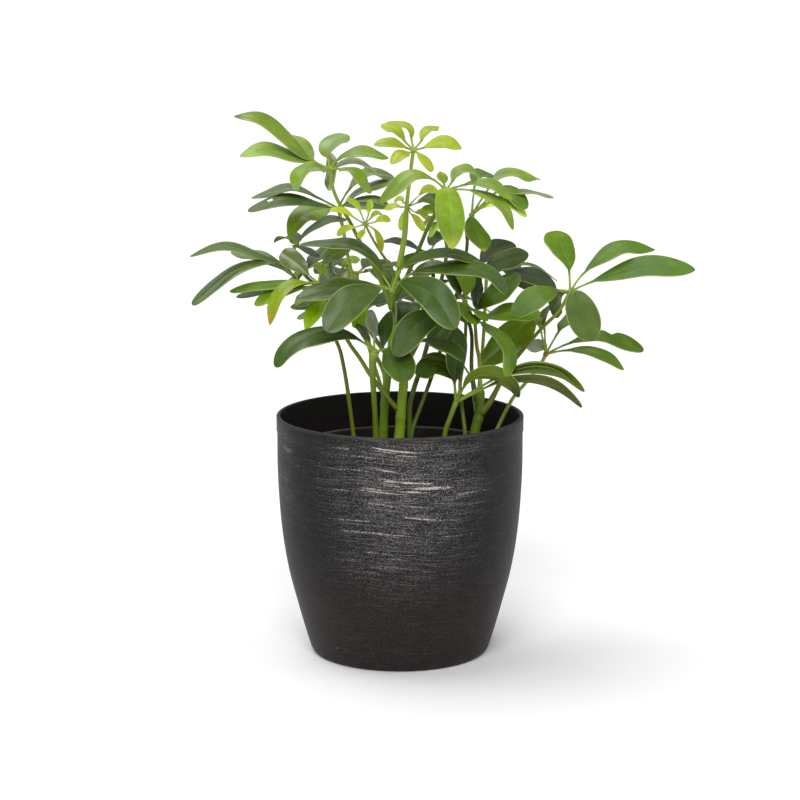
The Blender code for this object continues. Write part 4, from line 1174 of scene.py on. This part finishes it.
def growLeaf(name, plan, leaflets, path, knob, bladePaint, stalkPaint):
    # leaflets: knots from the knob to the tip, direction over the blade, true width, tone and look
    draw = random.Random(name)
    thick = plan.get("thick", stalkLook["radius"])
    slim = min(1.0, thick / stalkLook["radius"])
    dark, pale = Vector(linear(*plan["stalkTone"])), Vector(linear(*stalkLook["pale"]))
    bm = bmesh.new()
    marks = {key: bm.verts.layers.float.new(key) for key in ("along", "side", "half", "under", "shine")}
    marks["upper"] = bm.verts.layers.float_vector.new("upper")
    marks["tone"] = bm.verts.layers.float_color.new("tone")

    def stalkRadius(share):
        taper = stalkLook["taper"]
        wider = (math.exp(-share / stalkLook["endReach"]) * stalkLook["collar"]
                 + math.exp(-(1 - share) / stalkLook["endReach"]) * stalkLook["flare"])
        stout = (1 + plan.get("stout", 0) * math.exp(-(1 - share) / stalkLook["stoutReach"])
                 + plan.get("crown", 0) * math.exp(-share / stalkLook["crownReach"]))
        return thick * (taper + (1 - taper) * share + wider * stalkLook["endShare"]) * stout * mm

    def stalkTone(share):
        fade = math.exp(-share * path.length / (stalkLook["paleReach"] * mm))
        tone = dark.lerp(pale, stalkLook["paleShare"] * fade)
        if "footTone" in plan:
            fade = math.exp(-(1 - share) / stalkLook["footReach"])
            tone = tone.lerp(Vector(linear(*plan["footTone"])), fade)
        return tone

    runs = [(path, stalkLook["rows"], stalkRadius, stalkTone)]
    for knots, across, width, tone, own in leaflets:
        look = {**bladeLook, "shine": shines[tone], **own}
        line = Path(knots)
        start = line.knotShares[1]
        glow = draw.uniform(*look["glow"])
        colour = [value * glow * draw.uniform(*look["hue"]) for value in linear(*tones[tone])]
        end = linear(*ends[look["end"]]) if "end" in look else colour
        if width < look["narrow"] * mm:
            look["least"] *= look["narrowLeast"]
        growBlade(bm, marks, line, start, width, across, colour, end, look, draw)
        runs.append(growRib(line, start, across, look, slim, pale, colour))
    bmesh.ops.solidify(bm, geom=bm.faces[:], thickness=bladeLook["thick"] * mm)
    bmesh.ops.recalc_face_normals(bm, faces=bm.faces)
    bm.normal_update()
    for vert in bm.verts:
        vert[marks["under"]] = 1.0 if vert.normal.dot(vert[marks["upper"]]) < 0 else 0.0
    bm.verts.layers.float_vector.remove(bm.verts.layers.float_vector["upper"])
    blades = finish(name + "_blades", bm, bladePaint)
    declare(blades, plan["slot"], name)

    bm = rods(name, runs, stalkLook["sides"])
    size = plan.get("knobSize", stalkLook["knob"]) * thick * mm
    ball = bmesh.ops.create_icosphere(bm, subdivisions=3, radius=size)
    bmesh.ops.translate(bm, verts=ball["verts"], vec=knob)
    layer = bm.verts.layers.float_color["tone"]
    knobTone = pale.lerp(dark, stalkLook["knobDark"])
    if "knob" in plan:
        knobTone = Vector(linear(*plan["knob"]))
    for vert in ball["verts"]:
        vert[layer] = (*knobTone, 1)
    stalk = finish(name + "_stalk", bm, stalkPaint)
    declare(stalk, "stem", name)


def makeLeaf(name, plan, bladePaint, stalkPaint):
    points = [place(*point) for point in plan["stalk"]]
    onStem = isinstance(plan["root"], str)
    path = Path(points if onStem else footed(points, plan["root"]))
    run = stalkLook["stalkletRun"]
    leaflets = []
    for row in plan["leaflets"]:
        own = row[-1] if isinstance(row[-1], dict) else {}
        *drawn, depth, seen, tone = row[:-1] if own else row
        knots = [points[0]]
        for index, (across, up) in enumerate(drawn):
            share = run + (1 - run) * index / (len(drawn) - 1)
            knots.append(place(across, up, plan["stalk"][0][2] + depth * share))
        width = own.get("width", plan["width"])
        leaflets.append((knots, seenAcross(seen, width, knots), width * mm, tone, own))
    growLeaf(name, plan, leaflets, path, points[0], bladePaint, stalkPaint)


def makeFarLeaf(name, plan, bladePaint, stalkPaint):
    draw = random.Random(name)
    points = [place(*point) for point in plan["stalk"]]
    upright = Vector((0, 0, 1))

    def across(tangent, point):
        return upright.cross(tangent).normalized()

    leaflets = []
    for index in range(plan["count"]):
        turn = math.radians(plan["turn"]) + math.tau * index / plan["count"]
        out = Vector((math.cos(turn), math.sin(turn), 0))
        knots = [points[0]]
        for reach, rise in farLook["arch"]:
            knots.append(points[0] + (out * reach + upright * rise) * farLook["length"] * mm)
        leaflets.append((knots, across, farLook["width"] * mm, draw.choice(farLook["tones"]), {}))
    plan = dict(plan, stalkTone=farLook["stalkTone"], slot="leaf_dark")
    growLeaf(name, plan, leaflets, Path(footed(points, plan["foot"])), points[0], bladePaint, stalkPaint)


studio = dict(
    world=0.28,
    # name: direction that the light comes from, how wide it looks in degrees, strength
    lights=dict(
        key=((-0.05, -1.0, 0.85), 34, 1.9),
        top=((-0.25, 0.2, 1.0), 46, 1.7),
        back=((-0.3, 1.0, 0.35), 60, 0.34),
        side=((1.0, -0.35, 0.7), 50, 0.35),
    ),
    floor=40,  # m
)


def makeStudio():
    world = bpy.data.worlds.new("studio")
    world.use_nodes = True
    world.node_tree.nodes["Background"].inputs["Color"].default_value = (1, 1, 1, 1)
    world.node_tree.nodes["Background"].inputs["Strength"].default_value = studio["world"]
    bpy.context.scene.world = world
    bpy.context.scene.view_settings.view_transform = "Standard"
    for name, (where, wide, power) in studio["lights"].items():
        lamp = bpy.data.lights.new(name, "SUN")
        lamp.angle = math.radians(wide)
        lamp.energy = power
        light = link(bpy.data.objects.new(name, lamp))
        light.rotation_euler = Vector(where).to_track_quat("Z", "Y").to_euler()
    bm = bmesh.new()
    bmesh.ops.create_grid(bm, x_segments=2, y_segments=2, size=studio["floor"])
    floor = finish("floor", bm, floorMaterial(), smooth=False)


setCamera()
makeStudio()
print("studio")
makeCoverPot(potMaterial(), potInsideMaterial())
makeLiner(linerMaterial())
makeSoil(soilMaterial())
print("pots and soil")
stalkPaint = stalkMaterial()
bladePaint = leafMaterial()
for stemName, stemPlan in stems.items():
    makeStem(stemName, stemPlan, stalkPaint)
for leafName, leafPlan in leaves.items():
    makeLeaf(leafName, leafPlan, bladePaint, stalkPaint)
for leafName, leafPlan in farLeaves.items():
    makeFarLeaf(leafName, leafPlan, bladePaint, stalkPaint)
print("stems and leaves")
